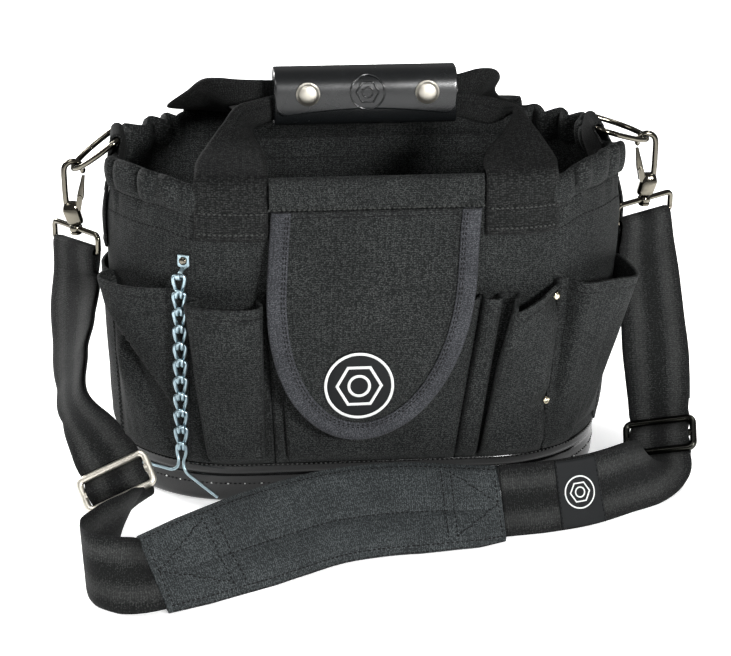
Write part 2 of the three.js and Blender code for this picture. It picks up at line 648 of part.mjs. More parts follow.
function buildEye(label, foot) {
  const across = ACROSS[label].clone().normalize();
  const top = -2.5;
  const low = -SNAP.barDrop;
  const { halfWidth, corner } = EYE;
  const turns = [
    [halfWidth - corner, top - corner, 90, 0], [halfWidth - corner, low + corner, 0, -90],
    [corner - halfWidth, low + corner, -90, -180], [corner - halfWidth, top - corner, -180, -270],
  ];
  const line = turns.flatMap(([u, z, from, to]) =>
    range(4, from, to).map((degrees) => {
      const turn = THREE.MathUtils.degToRad(degrees);
      return foot.clone().addScaledVector(across, u + corner * Math.cos(turn))
        .add(vec(0, 0, z + corner * Math.sin(turn)));
    }),
  );
  const bossStart = foot.clone().addScaledVector(across, 3.4).add(vec(0, 0, top));
  const bossEnd = foot.clone().addScaledVector(across, -3.4).add(vec(0, 0, top));
  const loop = wire([bossStart, ...line, bossEnd], EYE.wire, 7);
  const ring = (radius, z) => range(15, 0, 2 * Math.PI).slice(0, 14)
    .map((a) => foot.clone().add(vec(radius * Math.cos(a), radius * Math.sin(a), z)));
  const boss = stack([ring(EYE.boss, -4.7), ring(EYE.boss, -0.5)]);
  const hole = stack([ring(EYE.hole, -12), ring(EYE.hole, 6)]);
  const cut = wasm.Manifold.difference(toManifold(joined([loop, boss])), toManifold(hole));
  add(`snap_eye_${label}`, fromManifold(cut), "nickel");
}

// Strap runs from below the eye to the pad: middle x, y, z and the direction across x, y, z
const RUN = {
  left: [
    [-204, -3, 140, 0.63, -0.77, 0.02],
    [-205.5, -34, 112, 0.63, -0.64, 0.36],
    [-206, -70, 96, 0.62, -0.6, 0.5],
    [-204.5, -97, 80, 0.61, -0.58, 0.54],
    [-192, -108, 58, 0.6, -0.57, 0.56],
    [-176.5, -119, 32, 0.595, -0.57, 0.568],
    [-167, -136, 19.5, 0.42, -0.42, 0.8],
    [-173, -164, 23.5, 0.2, -0.15, 0.97],
    [-187, -194, 24.2, 0, 0.1, 0.995],
    [-196.5, -215, 24.2, -0.05, 0.1, 0.99],
    [-190, -235, 24, -0.1, 0.15, 0.98],
    [-174, -242.5, 23.8, -0.15, 0.3, 0.94],
    [-156.5, -242, 22, -0.3, 0.42, 0.86],
  ],
  right: [
    [202, -9, 148, 0.78, 0.62, 0],
    [205, -28, 101, 0.97, 0.2, 0],
    [206.5, -48, 57, 0.9, -0.4, 0],
    [206, -61, 28, 0.82, -0.57, 0],
    [203, -80, 17.5, 0.72, -0.62, -0.3],
    [192, -102, 20, 0.35, -0.5, -0.79],
    [170, -122, 23, 0.1, -0.35, -0.93],
    [143, -138, 23.2, -0.05, -0.38, -0.92],
    [113, -147, 23.2, 0, -0.38, -0.92],
    [79.6, -152, 23.2, 0, -0.42, -0.9],
  ],
};
const SLIDE_STATION = { left: 6, right: 4 };

// Evenly spaced places along a run, each with its middle, direction across, facing and distance
function walk(run, count) {
  const through = (points) => new THREE.CatmullRomCurve3(points, false, "centripetal");
  const middles = through(run.map(([x, y, z]) => vec(x, y, z)));
  const widths = through(run.map((row) => vec(row[3], row[4], row[5])));
  let distance = 0;
  let previous = null;
  return range(count, 0, 1).map((t) => {
    const middle = middles.getPoint(t);
    const [before, beyond] = [Math.max(0, t - 0.01), Math.min(1, t + 0.01)];
    const along = middles.getPoint(beyond).sub(middles.getPoint(before)).normalize();
    const across = widths.getPoint(t);
    across.addScaledVector(along, -across.dot(along)).normalize();
    distance += previous ? previous.distanceTo(middle) : 0;
    previous = middle;
    return { t, middle, along, across, facing: along.clone().cross(across).normalize(), distance };
  });
}

// A row that would dip below the ground is raised until its lower edge stands on it
function grounded(row, clearance) {
  const short = Math.max(0, clearance - Math.min(...row.map((p) => p.z)));
  return row.map((p) => p.clone().setZ(p.z + short));
}

function strapRow({ middle, across, facing }, lift, width) {
  const row = [-0.5, 0.5].map((share) => middle.clone().addScaledVector(across, share * width)
    .addScaledVector(facing, lift));
  return grounded(row, STRAP.web / 2 + 0.1);
}

// Near the slide the run is drawn straight, square to the slide
function straightened(p, slide, fromSlide) {
  const hold = 1 - ease((Math.abs(fromSlide) - 14) / 16);
  const straight = slide.middle.clone().addScaledVector(slide.along, fromSlide);
  return {
    middle: p.middle.clone().lerp(straight, hold),
    across: p.across.clone().lerp(slide.across, hold).normalize(),
    facing: p.facing.clone().lerp(slide.facing, hold).normalize(),
  };
}

function buildStrap(label) {
  const eye = snapFoot(END[label]).sub(vec(0, 0, SNAP.barDrop));
  const run = [[...eye.toArray(), ...ACROSS[label].toArray()], ...RUN[label]];
  const slideTurn = SLIDE_STATION[label] / (run.length - 1);
  const places = walk(run, 361);
  const slideAt = places[Math.round(slideTurn * (places.length - 1))];
  const out = slideAt.facing.y < 0 ? 1 : -1;
  const opened = (d) => STRAP.layer + (STRAP.turn - STRAP.layer) * (1 - ease(d / 26));
  const widthAt = (d) => mix(STRAP.gathered, STRAP.width, ease((d - 6) / 40));
  const front = [];
  let last = -100;
  for (const p of places) {
    const fromSlide = p.distance - slideAt.distance;
    const near = Math.abs(fromSlide) < 22;
    if (p.distance - last < (near ? 2.7 : 11) && p.t < 1) {
      continue;
    }
    last = p.distance;
    const wave = Math.cos((Math.PI * fromSlide) / SLIDE.halfTall);
    const weave = 3.2 * wave * (1 - ease((Math.abs(fromSlide) - 12) / 9));
    const layer = fromSlide < 0 ? opened(p.distance) * ease((-fromSlide - 12) / 12) : 0;
    const held = straightened(p, slideAt, fromSlide);
    front.push({ p, fromSlide, row: strapRow(held, out * (weave + layer), widthAt(p.distance)) });
  }
  const back = front.filter(({ p, fromSlide }) => fromSlide < -26 && p.distance > 0)
    .map(({ p }) => strapRow(p, -out * opened(p.distance), widthAt(p.distance)));
  const start = places[0];
  const bend = range(7, -90, 90).map((degrees) => {
    const turn = THREE.MathUtils.degToRad(degrees);
    const lift = out * STRAP.turn * Math.sin(turn);
    return strapRow(start, lift, STRAP.gathered)
      .map((p) => p.addScaledVector(start.along, -STRAP.turn * Math.cos(turn)));
  });
  const rows = [...back.reverse(), ...bend, ...front.slice(1).map(({ row }) => row)];
  add(`strap_${label}`, slab(rows, STRAP.web), "webbing");

  // Three-bar slide round the strap
  const { middle, across, along } = slideAt;
  const spot = (u, v) => middle.clone().addScaledVector(across, u).addScaledVector(along, v);
  const corner = 4;
  const turns = [[1, 1, 90, 0], [1, -1, 0, -90], [-1, -1, -90, -180], [-1, 1, -180, -270]];
  const loop = turns.flatMap(([su, sv, from, to]) =>
    range(3, from, to).map((degrees) => {
      const turn = THREE.MathUtils.degToRad(degrees);
      const u = su * (SLIDE.halfLength - corner) + corner * Math.cos(turn);
      return spot(u, sv * (SLIDE.halfTall - corner) + corner * Math.sin(turn));
    }),
  );
  const bar = wire([spot(-SLIDE.halfLength, 0), spot(SLIDE.halfLength, 0)], SLIDE.wire, 6);
  add(`slide_${label}`, joined([wire(loop, SLIDE.wire, 6, true), bar]), "nickel");
  return { places, out };
}

// Shoulder pad, left end to right end: middle x, y, z, direction across x, y, z
const PAD_RUN = [
  [-153.5, -237, 20.5, -0.5, 0.58, 0.64],
  [-127, -226, 24, -0.42, 0.6, 0.68],
  [-99, -209, 25, -0.36, 0.61, 0.7],
  [-70, -190, 25, -0.34, 0.61, 0.71],
  [-37, -171, 25, -0.25, 0.65, 0.7],
  [0, -161, 24.5, -0.1, 0.7, 0.69],
  [34, -158, 23.5, 0, 0.73, 0.66],
  [58, -155.5, 22, 0.1, 0.73, 0.66],
  [78.9, -152.5, 20.5, 0.12, 0.64, 0.74],
];
const PAD_WIDTH = [[0, 54], [0.12, 60], [0.3, 65], [0.7, 65], [0.88, 59], [1, 52]];

function buildPad() {
  const places = walk(PAD_RUN, 19);
  const across = [-1, -0.86, -0.45, 0, 0.45, 0.86, 1];
  const rows = places.map((p) => {
    const half = lookUp(PAD_WIDTH, p.t, 1) / 2;
    const row = across.map((share) => p.middle.clone().addScaledVector(p.across, share * half));
    return grounded(row, PAD.edge / 2);
  });
  const last = places.length - 1;
  const thick = (i, j) => {
    const edge = j === 0 || j === across.length - 1 || i === 0 || i === last;
    const groove = j === 3 ? 0.82 : 1;
    return edge ? PAD.edge : PAD.thick * groove;
  };
  add("shoulder_pad", slab(rows, thick), "padCloth");
}

function buildLabel({ places, out }) {
  const lift = out * (STRAP.web / 2 + 0.4 + 0.4);
  const rows = places.filter((p) => p.t > 0.78 && p.t < 0.885).filter((p, k) => k % 4 === 0)
    .map((p) => strapRow(p, lift, STRAP.width - 3));
  add("strap_label", slab(rows, 0.8), "patch");
}

// The tape chain hangs in the valley of a pocket seam
function buildChain() {
  const top = 168.5;
  const place = (z) => mix(SEAM.chain[1], SEAM.chain[0], (z - POCKET.bottom) / (POCKET.mouth - POCKET.bottom));
  const frame = (z) => {
    const middle = wallPoint(place(z), z, CHAIN.offset);
    const out = middle.clone().sub(wallPoint(place(z), z, 0)).normalize();
    return { middle, out, side: vec(0, 0, 1).cross(out).normalize() };
  };
  const at = ({ middle, out, side }, u, v, z) =>
    middle.clone().addScaledVector(side, u).addScaledVector(out, v).setZ(z);

  // A link: top bar, two sides that draw together, and a lower end folded forward round the next top bar
  const half = [
    [1.2, 0, 0], [CHAIN.topHalf - 0.4, 0, -0.5], [CHAIN.topHalf, 0, -2], [2.9, 0, -5.5], [1.7, -0.9, -8.8],
    [CHAIN.neckHalf, -CHAIN.wrap, -11.4], [CHAIN.neckHalf, -1.6, -14], [CHAIN.neckHalf, 0, -14.7],
    [CHAIN.neckHalf, 1.6, -14], [CHAIN.neckHalf, CHAIN.wrap, -12.2], [0.95, CHAIN.wrap, -11.2],
  ];
  for (let k = 0; k < CHAIN.links; k += 1) {
    const z = top - k * CHAIN.pitch;
    const here = frame(z);
    const low = frame(z - CHAIN.pitch);
    const point = (sign, [u, v, drop]) => {
      const share = -drop / CHAIN.pitch;
      const p = at(here, sign * u, v, z + drop).multiplyScalar(1 - share);
      return p.addScaledVector(at(low, sign * u, v, z + drop), share);
    };
    const line = [...half.map((row) => point(1, row)), ...half.map((row) => point(-1, row)).reverse()];
    const name = `chain_link_${String(k + 1).padStart(2, "0")}`;
    add(name, wire(line, CHAIN.wire, 6, true), "zinc");
  }

  // Fixing plate: a flat tab on the wall with a narrow tongue folded round the first link
  const tabZ = 176;
  const flat = frame(tabZ);
  const wallLift = BODY.wall / 2 + SEWN_GAP + 0.7 - CHAIN.offset;
  const tongue = [
    [181, 4.1, wallLift], [177, 4.1, wallLift], [173.4, 4.1, wallLift], [172, 1.5, wallLift + 0.4],
    [169.5, 1.5, -CHAIN.wrap], [top - 1.7, 1.5, -1.6], [top - 2.3, 1.5, 0], [top - 1.7, 1.5, 1.6],
    [top, 1.5, 2.3], [top + 1.4, 1.5, 2.3],
  ];
  const rows = tongue.map(([z, wide, lift]) => {
    const seated = z > 171 ? flat : frame(top);
    return [-wide, 0, wide].map((u) => at(seated, u, lift, z));
  });
  add("chain_plate", slab(rows, 1.2), "zinc");
  const seat = frame(tabZ);
  dome("rivet_chain", at(seat, 0, wallLift + 0.95, 177), seat.out, 2.9, 1.6);

  // T-hook: one bent wire, its loop in the last link, its two arms across the pan
  const barZ = top - CHAIN.links * CHAIN.pitch;
  const end = frame(barZ);
  const leftSide = [
    [-1.2, 0, barZ], [-2.9, 0, barZ - 0.6], [-3.5, 0, barZ - 3], [-3.1, 0.3, barZ - 7], [-1.9, 1, barZ - 11],
    [-2.6, 1.8, barZ - 13.8], [-6, 2.4, barZ - 14.8], [-14, 4.5, barZ - 13], [-26, 9, barZ - 10.5],
  ];
  const rightSide = [
    [1.2, 0, barZ], [2.9, 0, barZ - 0.6], [3.5, 0, barZ - 3], [3.1, 0.3, barZ - 7], [1.9, 1, barZ - 11],
    [2.4, 2, barZ - 15], [6, 3.4, barZ - 19.5], [14, 6, barZ - 26], [27, 12, barZ - 36],
  ];
  const line = [...leftSide.reverse(), ...rightSide].map(([u, v, z]) => at(end, u, v, z));
  add("chain_hook", wire(line, 1.1, 6), "zinc");
}

// A small domed head
function dome(name, middle, out, radius, tall) {
  const profile = [[0, 0], [0.9, 0], [1, 0.25], [0.8, 0.7], [0.45, 0.94], [0, 1]]
    .map(([r, h]) => new THREE.Vector2(r * radius, h * tall));
  const head = new THREE.LatheGeometry(profile, 10);
  head.applyQuaternion(new THREE.Quaternion().setFromUnitVectors(vec(0, 1, 0), out));
  head.translate(middle.x, middle.y, middle.z);
  add(name, head, "brass");
}

function buildRivets() {
  const lift = POCKET.seamOffset + POCKET.cloth / 2 + 0.75;
  for (const [name, z] of [["rivet_front_top", 145.5], ["rivet_front_low", 68]]) {
    const share = (z - POCKET.bottom) / (POCKET.mouth - POCKET.bottom);
    const w = mix(SEAM.rivet[1], SEAM.rivet[0], share);
    const out = wallPoint(w, z, 10).sub(wallPoint(w, z, 0)).normalize();
    dome(name, wallPoint(w, z, lift), out, 2.8, 1.6);
  }
}

buildBase();
buildWall();
buildHem("front_hem", -1, BODY.rimFront + 1);
buildHem("back_hem", 1, BODY.rimBack + 1);
buildPockets();
buildFlap();
buildHandle("front_handle", -1, FRONT_LEG);
buildHandle("back_handle", 1, BACK_LEG);
buildWrap();
buildEnd("left", END.left);
buildEnd("right", END.right);
buildStrap("left");
buildLabel(buildStrap("right"));
buildPad();
buildChain();
buildRivets();

export default bag;
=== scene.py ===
# The looks of a cloth tool bag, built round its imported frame. Sizes in the tables are millimetres.
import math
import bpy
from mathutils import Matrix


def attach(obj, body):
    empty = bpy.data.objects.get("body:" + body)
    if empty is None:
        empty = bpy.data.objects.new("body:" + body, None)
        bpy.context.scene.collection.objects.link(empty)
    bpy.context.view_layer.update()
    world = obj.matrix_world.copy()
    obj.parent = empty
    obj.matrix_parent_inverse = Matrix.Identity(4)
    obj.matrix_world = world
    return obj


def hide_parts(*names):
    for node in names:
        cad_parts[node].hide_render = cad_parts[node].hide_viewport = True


bl_info = {
    "name": "Tool Bag",
    "version": (1, 0, 0),
    "blender": (4, 5, 0),
    "location": "View3D > Sidebar > Tool Bag",
    "description": "Builds a cloth tool bag with pockets, handles, shoulder strap and tape chain",
    "category": "Object",
}

from types import SimpleNamespace as Sizes

import bpy
import numpy as np
from mathutils import Vector

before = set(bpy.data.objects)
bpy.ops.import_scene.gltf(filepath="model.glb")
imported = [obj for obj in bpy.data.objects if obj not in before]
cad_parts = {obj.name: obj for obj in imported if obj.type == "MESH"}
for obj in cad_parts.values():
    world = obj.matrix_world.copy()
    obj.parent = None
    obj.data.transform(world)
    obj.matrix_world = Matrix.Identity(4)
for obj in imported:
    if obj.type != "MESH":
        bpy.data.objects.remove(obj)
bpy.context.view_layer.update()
MM = 0.001

# Sizes of the pieces, most of them shared with the solid model
SEWN_GAP = 0.5
BODY = Sizes(
    straight_half=85, base_half_length=171, base_half_depth=87, top_half_length=180, top_half_depth=94,
    full_size_height=190, base_shift=-5.5, bottom=30, rim_front=230, rim_back=235, wall=2,
)
PINCH = Sizes(left=9, right=19, start=184, reach=48, middle_degrees=95, spread_degrees=18)
RUFFLE = Sizes(depth=2.6, start=204, reach=24, wave_degrees=30, first=30, last=150, tab_half=17)
PAN = Sizes(over_body=1.5)
POCKET = Sizes(mouth=151, bottom=30.3, cloth=1.6, seam_offset=2.3)
HEM = Sizes(half_length=71.2, height=22, thick=6)
FLAP = Sizes(top=212.4, straight_end=170, bottom=57, half_width=68.4, skew=0.085, roundness=2.15, cloth=2)
BINDING = Sizes(width=11.5, cloth=0.9, gap=0.7)
PATCH = Sizes(x=-13.5, z=95.5, radius=24, thick=0.8)
HANDLE = Sizes(web=2.4, grip=4.8, leg_bottom=193, foot=20.5)
WRAP = Sizes(
    half_length=63, center_z=266, half_tall=17.2, half_deep=14.2, leather=2.4, layer=2.9,
    start=-0.06, finish=1.055, arch=0.036, corner=9, turn_length=108, squareness=3.2,
)
SNAP_CAP = Sizes(radius=8.4, tall=3.4, z=272, left_x=-40, right_x=42)
TAB = Sizes(half_width=17, web=2, bottom=166, top=231, inside_bottom=214)
RING = Sizes(wire=2, bar_half=20.5)
SNAP = Sizes(wire=2.1, bow=6.5, bow_z=39, seat=41.2, bar_drop=16)
EYE = Sizes(half_width=25.2, wire=2, corner=3.6, top=-2.5, gap=3.4, hole=2.5, boss=4.6)
STRAP = Sizes(width=48, gathered=45, web=1.8, layer=1.25, turn=3.6)
SLIDE = Sizes(half_length=24.5, half_tall=11, wire=2.5, corner=4)
PAD = Sizes(thick=9, edge=3.2)
CHAIN = Sizes(
    links=10, pitch=12.4, wire=1.3, top=168.5, wrap=2.2, offset=9.6, hook_wire=1.1,
    seam_top_x=-127.0, seam_low_x=-124.0, plate_z=176, plate_half=0.7,
)
RIVET = Sizes(radius=2.85, rise=0.56, seam_top_x=123.0, seam_low_x=121.0, top_z=145.5, low_z=68.0)
END = {
    "left": Sizes(side=-1, bar_z=242, tip_x=-202.5, tip_z=219, hang_y=0),
    "right": Sizes(side=1, bar_z=243, tip_x=200.3, tip_z=231, hang_y=-6),
}
ACROSS = {"left": (0.62, -0.78, 0), "right": (0.86, 0.5, 0.05)}

# Pocket folds: place across when flat, place across when open, share of the bulge
PLEATED = [
    (0, 0, 0), (0.12, 0.06, 0.02), (0.27, 0.15, 0.03), (0.275, 0.12, 0.4), (0.27, 0.075, 0.78),
    (0.31, 0.12, 0.97), (0.36, 0.22, 1.03), (0.52, 0.5, 1.08), (0.7, 0.78, 1.03), (0.79, 0.885, 0.95),
    (0.83, 0.925, 0.72), (0.815, 0.88, 0.3), (0.83, 0.86, 0.02), (0.9, 0.92, 0.05), (0.94, 0.95, 0.12),
    (1, 1, 0),
]
WIDE_PLEATED = [
    (0, 0, 0), (0.022, 0.018, 0.14), (0.04, 0.035, 0.14), (0.075, 0.08, 0.02), (0.08, 0.07, 0.4),
    (0.072, 0.048, 0.75), (0.09, 0.055, 0.93), (0.16, 0.14, 1.02), (0.34, 0.33, 1.1), (0.5, 0.5, 1.12),
    (0.66, 0.67, 1.1), (0.84, 0.86, 1.05), (0.93, 0.94, 0.96), (0.975, 0.98, 0.8), (0.992, 0.994, 0.5),
    (1, 1, 0),
]
CORNER = [
    (0, 0, 0), (0.09, 0.09, 0.04), (0.3, 0.28, 0.42), (0.5, 0.5, 0.78), (0.68, 0.7, 0.99), (0.74, 0.76, 1),
    (0.82, 0.86, 0.66), (0.92, 0.95, 0.2), (1, 1, 0),
]
FLARED = [
    (0, 0, 0), (0.035, 0.055, 0.02), (0.06, 0.095, 0.04), (0.09, 0.112, 0.3), (0.12, 0.122, 0.58),
    (0.155, 0.15, 0.7), (0.22, 0.23, 0.73), (0.4, 0.43, 0.86), (0.57, 0.575, 0.98),
    (0.61, 0.615, 1), (0.645, 0.65, 0.94), (0.76, 0.77, 0.6), (0.88, 0.9, 0.25), (1, 1, 0),
]
RIGHT_PLEATED = [
    (0, 0, 0), (0.015, 0.012, 0.36), (0.045, 0.04, 0.62), (0.12, 0.13, 0.72), (0.22, 0.27, 0.72),
    (0.265, 0.33, 0.6), (0.26, 0.31, 0.3), (0.28, 0.34, 0), (0.33, 0.56, 0), (0.335, 0.545, 0.3),
    (0.325, 0.495, 0.75), (0.345, 0.49, 0.95), (0.4, 0.53, 1.03), (0.5, 0.6, 1), (0.7, 0.74, 0.86),
    (0.9, 0.91, 0.7), (0.965, 0.985, 0.5), (1, 1, 0),
]
PLAIN = [(k / 12, k / 12, math.sin(math.pi * k / 12)) for k in range(13)]

# How far the flap's middle stands from the centre plane: height, distance
FLAP_STAND = [(50, 113.5), (100, 115), (150, 112), (172, 107), (200, 99.4), (214, 98.3)]

# Handle legs from the rim to the middle of the grip: outer edge x, y, z and inner edge x, y, z
LEGS = {
    ("front", "left"): [
        (-120, -88.5, 234.6, -72, -96, 234.4), (-118.5, -75, 241, -71, -80, 239.5),
        (-111.5, -58, 247, -74, -60, 245), (-99.5, -39, 258, -78, -40, 247.5),
        (-88.5, -20, 265.5, -79, -19, 248.5), (-76, -10, 266.5, -72, -10, 249.5),
        (-64, -6.7, 268.5, -64, -6.7, 251.5), (-32, -6.5, 269.5, -32, -6.5, 252.5),
        (0, -6.5, 270, 0, -6.5, 253),
    ],
    ("front", "right"): [
        (122, -88.5, 234.6, 73, -96, 234.4), (123, -75, 238.5, 73, -80, 239),
        (118, -58, 246, 80, -62, 244.5), (110.5, -41, 255.5, 91, -46, 250), (105, -25, 262, 100, -27, 258),
        (98, -15, 263, 87, -15, 247.5), (84, -9.5, 266, 74, -10, 249),
        (64, -6.7, 268.5, 64, -6.7, 251), (32, -6.5, 269.5, 32, -6.5, 252.5), (0, -6.5, 270, 0, -6.5, 253),
    ],
    ("back", "left"): [
        (-124, 88.5, 239.8, -74, 96, 239.6), (-132, 76, 241, -82, 80, 238.5),
        (-136.5, 57, 247.5, -88, 59, 241.5), (-123, 37, 262, -90, 39, 247),
        (-109, 17, 276, -94, 19, 255), (-86, 9, 276.8, -86, 9, 259),
        (-64, 6.7, 276.3, -64, 6.7, 259), (-32, 6.5, 276, -32, 6.5, 259), (0, 6.5, 276.5, 0, 6.5, 259.5),
    ],
    ("back", "right"): [
        (124, 88.5, 239.8, 74, 96, 239.6), (116, 75, 241, 73, 80, 243),
        (105, 60, 247, 74, 60, 247), (98.5, 46, 257, 75, 44, 250), (99, 28, 270.5, 78, 26, 254),
        (94, 18, 278, 80, 17, 258), (82, 11, 280.5, 76, 10, 260),
        (64, 6.7, 277.5, 64, 6.7, 259.5), (32, 6.5, 276, 32, 6.5, 259), (0, 6.5, 276.5, 0, 6.5, 259.5),
    ],
}

# Strap runs from below the eye to the pad: middle x, y, z and the direction across x, y, z
RUN = {
    "left": [
        (-204, -3, 140, 0.63, -0.77, 0.02),
        (-205.5, -34, 112, 0.52, -0.76, 0.36),
        (-206, -70, 96, 0.36, -0.82, 0.44),
        (-204.5, -97, 80, 0.4, -0.74, 0.54),
        (-191, -107, 59, 0.7, -0.35, 0.55),
        (-177.5, -119, 32.5, 0.87, -0.1, 0.3),
        (-172, -139, 18.5, 0.62, -0.2, 0.74),
        (-173, -164, 23.5, 0.2, -0.15, 0.97),
        (-187, -194, 24.2, 0, 0.1, 0.995),
        (-196.5, -215, 24.2, -0.05, 0.1, 0.99),
        (-190, -235, 24, -0.1, 0.15, 0.98),
        (-174, -242.5, 23.8, -0.15, 0.3, 0.94),
        (-160, -240, 21.8, -0.36, 0.5, 0.79),
        (-147.3, -232.2, 18.9, -0.5, 0.58, 0.64),
    ],
    "right": [
        (202, -9, 148, 0.95, 0.32, 0),
        (205, -28, 101, 0.97, 0.2, 0),
        (206.5, -48, 57, 0.9, -0.4, 0),
        (206, -61, 28, 0.82, -0.57, 0),
        (203, -80, 17.5, 0.72, -0.62, -0.3),
        (192, -102, 20, 0.35, -0.5, -0.79),
        (170, -122, 23, 0.1, -0.35, -0.93),
        (143, -138, 23.2, -0.05, -0.38, -0.92),
        (113, -147, 23.2, 0, -0.38, -0.92),
        (79.6, -152, 23.2, 0, -0.42, -0.9),
    ],
}
SLIDE_STATION = {"left": 6, "right": 4}

# Shoulder pad, left end to right end: middle x, y, z and the direction across x, y, z
PAD_RUN = [
    (-153.5, -237, 20.5, -0.5, 0.58, 0.64),
    (-127, -226, 24, -0.42, 0.6, 0.68),
    (-99, -209, 25, -0.36, 0.61, 0.7),
    (-70, -190, 25, -0.34, 0.61, 0.71),
    (-37, -171, 25, -0.25, 0.65, 0.7),
    (0, -161, 24.5, -0.1, 0.7, 0.69),
    (34, -158, 23.5, 0, 0.73, 0.66),
    (58, -155.5, 22, 0.1, 0.73, 0.66),
    (78.9, -152.5, 20.5, 0.12, 0.64, 0.74),
]
PAD_WIDTH = [(0, 54), (0.12, 60), (0.3, 65), (0.7, 65), (0.88, 59), (1, 52)]


def hex_linear(text):
    """Linear colour of an sRGB hex value."""
    shares = [int(text[k:k + 2], 16) / 255 for k in (0, 2, 4)]
    return [c / 12.92 if c <= 0.04045 else ((c + 0.055) / 1.055) ** 2.4 for c in shares]


def length_property(name, description, millimetres):
    return bpy.props.FloatProperty(
        name=name, description=description, default=millimetres * MM, min=0, unit="LENGTH", precision=5)


def colour_property(name, description, text):
    return bpy.props.FloatVectorProperty(
        name=name, description=description, default=hex_linear(text), size=3, min=0, max=1, subtype="COLOR")


class ToolBagSizes(bpy.types.PropertyGroup):
    """Sizes of the details that are added to the solid model"""

    stitch: length_property("Stitch", "Length of one stitch", 2.3)
    stitch_pitch: length_property("Stitch pitch", "Distance from one stitch to the next", 3.3)
    thread: length_property("Thread", "Thickness of the sewing thread", 1.0)
    base_pitch: length_property("Base pitch", "Distance between the long stitches of the base", 11.6)
    crumple: length_property("Crumple", "Depth of the cloth's soft unevenness", 0.8)
    gather: length_property("Gather", "Depth of the gathers along the rim's ends", 5.5)
    rim_band: length_property("Rim band", "Height of the doubled cloth round the rim", 22)
    mouth_band: length_property("Mouth band", "Height of the hem along each pocket's mouth", 8.5)
    pad_cap: length_property("Pad cap", "Furthest that the pad's cover may swell", 3.2)


class ToolBagColours(bpy.types.PropertyGroup):
    """Colours of the bag's materials"""

    cloth: colour_property("Cloth", "Charcoal canvas", "0c0e0e")
    fleck: colour_property("Fleck", "Light fleck in the canvas", "454746")
    pad: colour_property("Pad cloth", "Blue-charcoal canvas of the pad", "1d2021")
    pad_fleck: colour_property("Pad fleck", "Light fleck in the pad's canvas", "54595a")
    webbing: colour_property("Webbing", "Near-black webbing", "060707")
    webbing_light: colour_property("Webbing light", "Light fleck in the webbing", "363736")
    binding: colour_property("Binding", "Grey binding tape", "26272a")
    binding_light: colour_property("Binding light", "Light fleck in the binding tape", "56585c")
    vinyl: colour_property("Vinyl", "Black moulded vinyl", "0a0b0b")
    leather: colour_property("Leather", "Black finished leather", "131516")
    # Painted shade: the nickel is drawn far darker than bare metal, so that the white room it mirrors comes
    # out mid-grey
    nickel: colour_property("Nickel", "Polished nickel plate", "6a665c")
    satin_nickel: colour_property("Satin nickel", "Snap caps and the slide on the left", "e2ddd0")
    # Painted shade: the right slide's nickel, drawn dark for the dark surroundings it would mirror
    dark_nickel: colour_property("Dark nickel", "Slide on the right", "33332f")
    zinc: colour_property("Zinc", "Bluish zinc plate", "a9bec6")
    brass: colour_property("Brass", "Brass rivet", "e6dcc0")
    dark_thread: colour_property("Dark thread", "Black sewing thread", "0a0a0b")
    # Painted sheen: the hem and handle thread is dark; this grey stands in for the light its raised stitches
    # catch
    grey_thread: colour_property("Grey thread", "Grey sewing thread of the hem and handles", "3c3e3c")
    light_thread: colour_property("Light thread", "Pale sewing thread of the base", "3f403f")
    ink: colour_property("Ink", "Pale screen-printed ink", "d8dad8")
    label: colour_property("Label", "Smooth black label cloth", "131516")
    floor: colour_property("Floor", "Pale floor", "fcfcfc")


def mix(a, b, t):
    """Value between a and b; t of 0 gives a and 1 gives b."""
    return a + (b - a) * t


def ease(t):
    """Smooth rise from 0 to 1."""
    k = np.clip(t, 0, 1)
    return k * k * (3 - 2 * k)


def bell(distance, width):
    """Smooth hump of height 1 round a distance of 0."""
    return np.exp(-((distance / width) ** 2))


def circle(count):
    """Angles of even steps once round."""
    return np.linspace(0, 2 * np.pi, count + 1)[:-1]


def ring(sides, radius, z):
    """Points of a level circle round the upright axis."""
    turns = circle(sides)
    return np.stack(np.broadcast_arrays(radius * np.cos(turns), radius * np.sin(turns), z), axis=-1)


def unit(vectors):
    lengths = np.linalg.norm(vectors, axis=-1, keepdims=True)
    return vectors / np.maximum(lengths, 1e-9)


def curve_at(points, places):
    """Points of the centripetal curve through the given points; places run from 0 to 1."""
    points = np.asarray(points, float)
    whole = np.concatenate([2 * points[:1] - points[1:2], points, 2 * points[-1:] - points[-2:-1]])
    run = np.asarray(places, float) * (len(points) - 1)
    first = np.clip(np.floor(run).astype(int), 0, len(points) - 2)
    t = (run - first)[:, None]
    p0, p1, p2, p3 = (whole[first + k] for k in range(4))
    gaps = [np.sqrt(np.linalg.norm(b - a, axis=1))[:, None] for a, b in ((p0, p1), (p1, p2), (p2, p3))]
    d1 = np.where(gaps[1] < 1e-4, 1, gaps[1])
    d0 = np.where(gaps[0] < 1e-4, d1, gaps[0])
    d2 = np.where(gaps[2] < 1e-4, d1, gaps[2])
    s1 = ((p1 - p0) / d0 - (p2 - p0) / (d0 + d1) + (p2 - p1) / d1) * d1
    s2 = ((p2 - p1) / d1 - (p3 - p1) / (d1 + d2) + (p3 - p2) / d2) * d1
    return p1 + s1 * t + (3 * (p2 - p1) - 2 * s1 - s2) * t ** 2 + (2 * (p1 - p2) + s1 + s2) * t ** 3


def evenly(line, count):
    """The line walked in even steps."""
    steps = np.concatenate([[0], np.cumsum(np.linalg.norm(np.diff(line, axis=0), axis=1))])
    wanted = np.linspace(0, steps[-1], count)
    return np.stack([np.interp(wanted, steps, line[:, k]) for k in range(line.shape[1])], axis=1)


def smooth_line(points, count, closed=False):
    """Even steps along the smooth curve through the points."""
    points = np.asarray(points, float)
    if not closed:
        return evenly(curve_at(points, np.linspace(0, 1, 20 * len(points))), count)
    around = np.concatenate([points[-2:], points, points[:3]])
    places = np.linspace(2, 2 + len(points), 20 * len(points)) / (len(around) - 1)
    return evenly(curve_at(around, places), count + 1)[:-1]


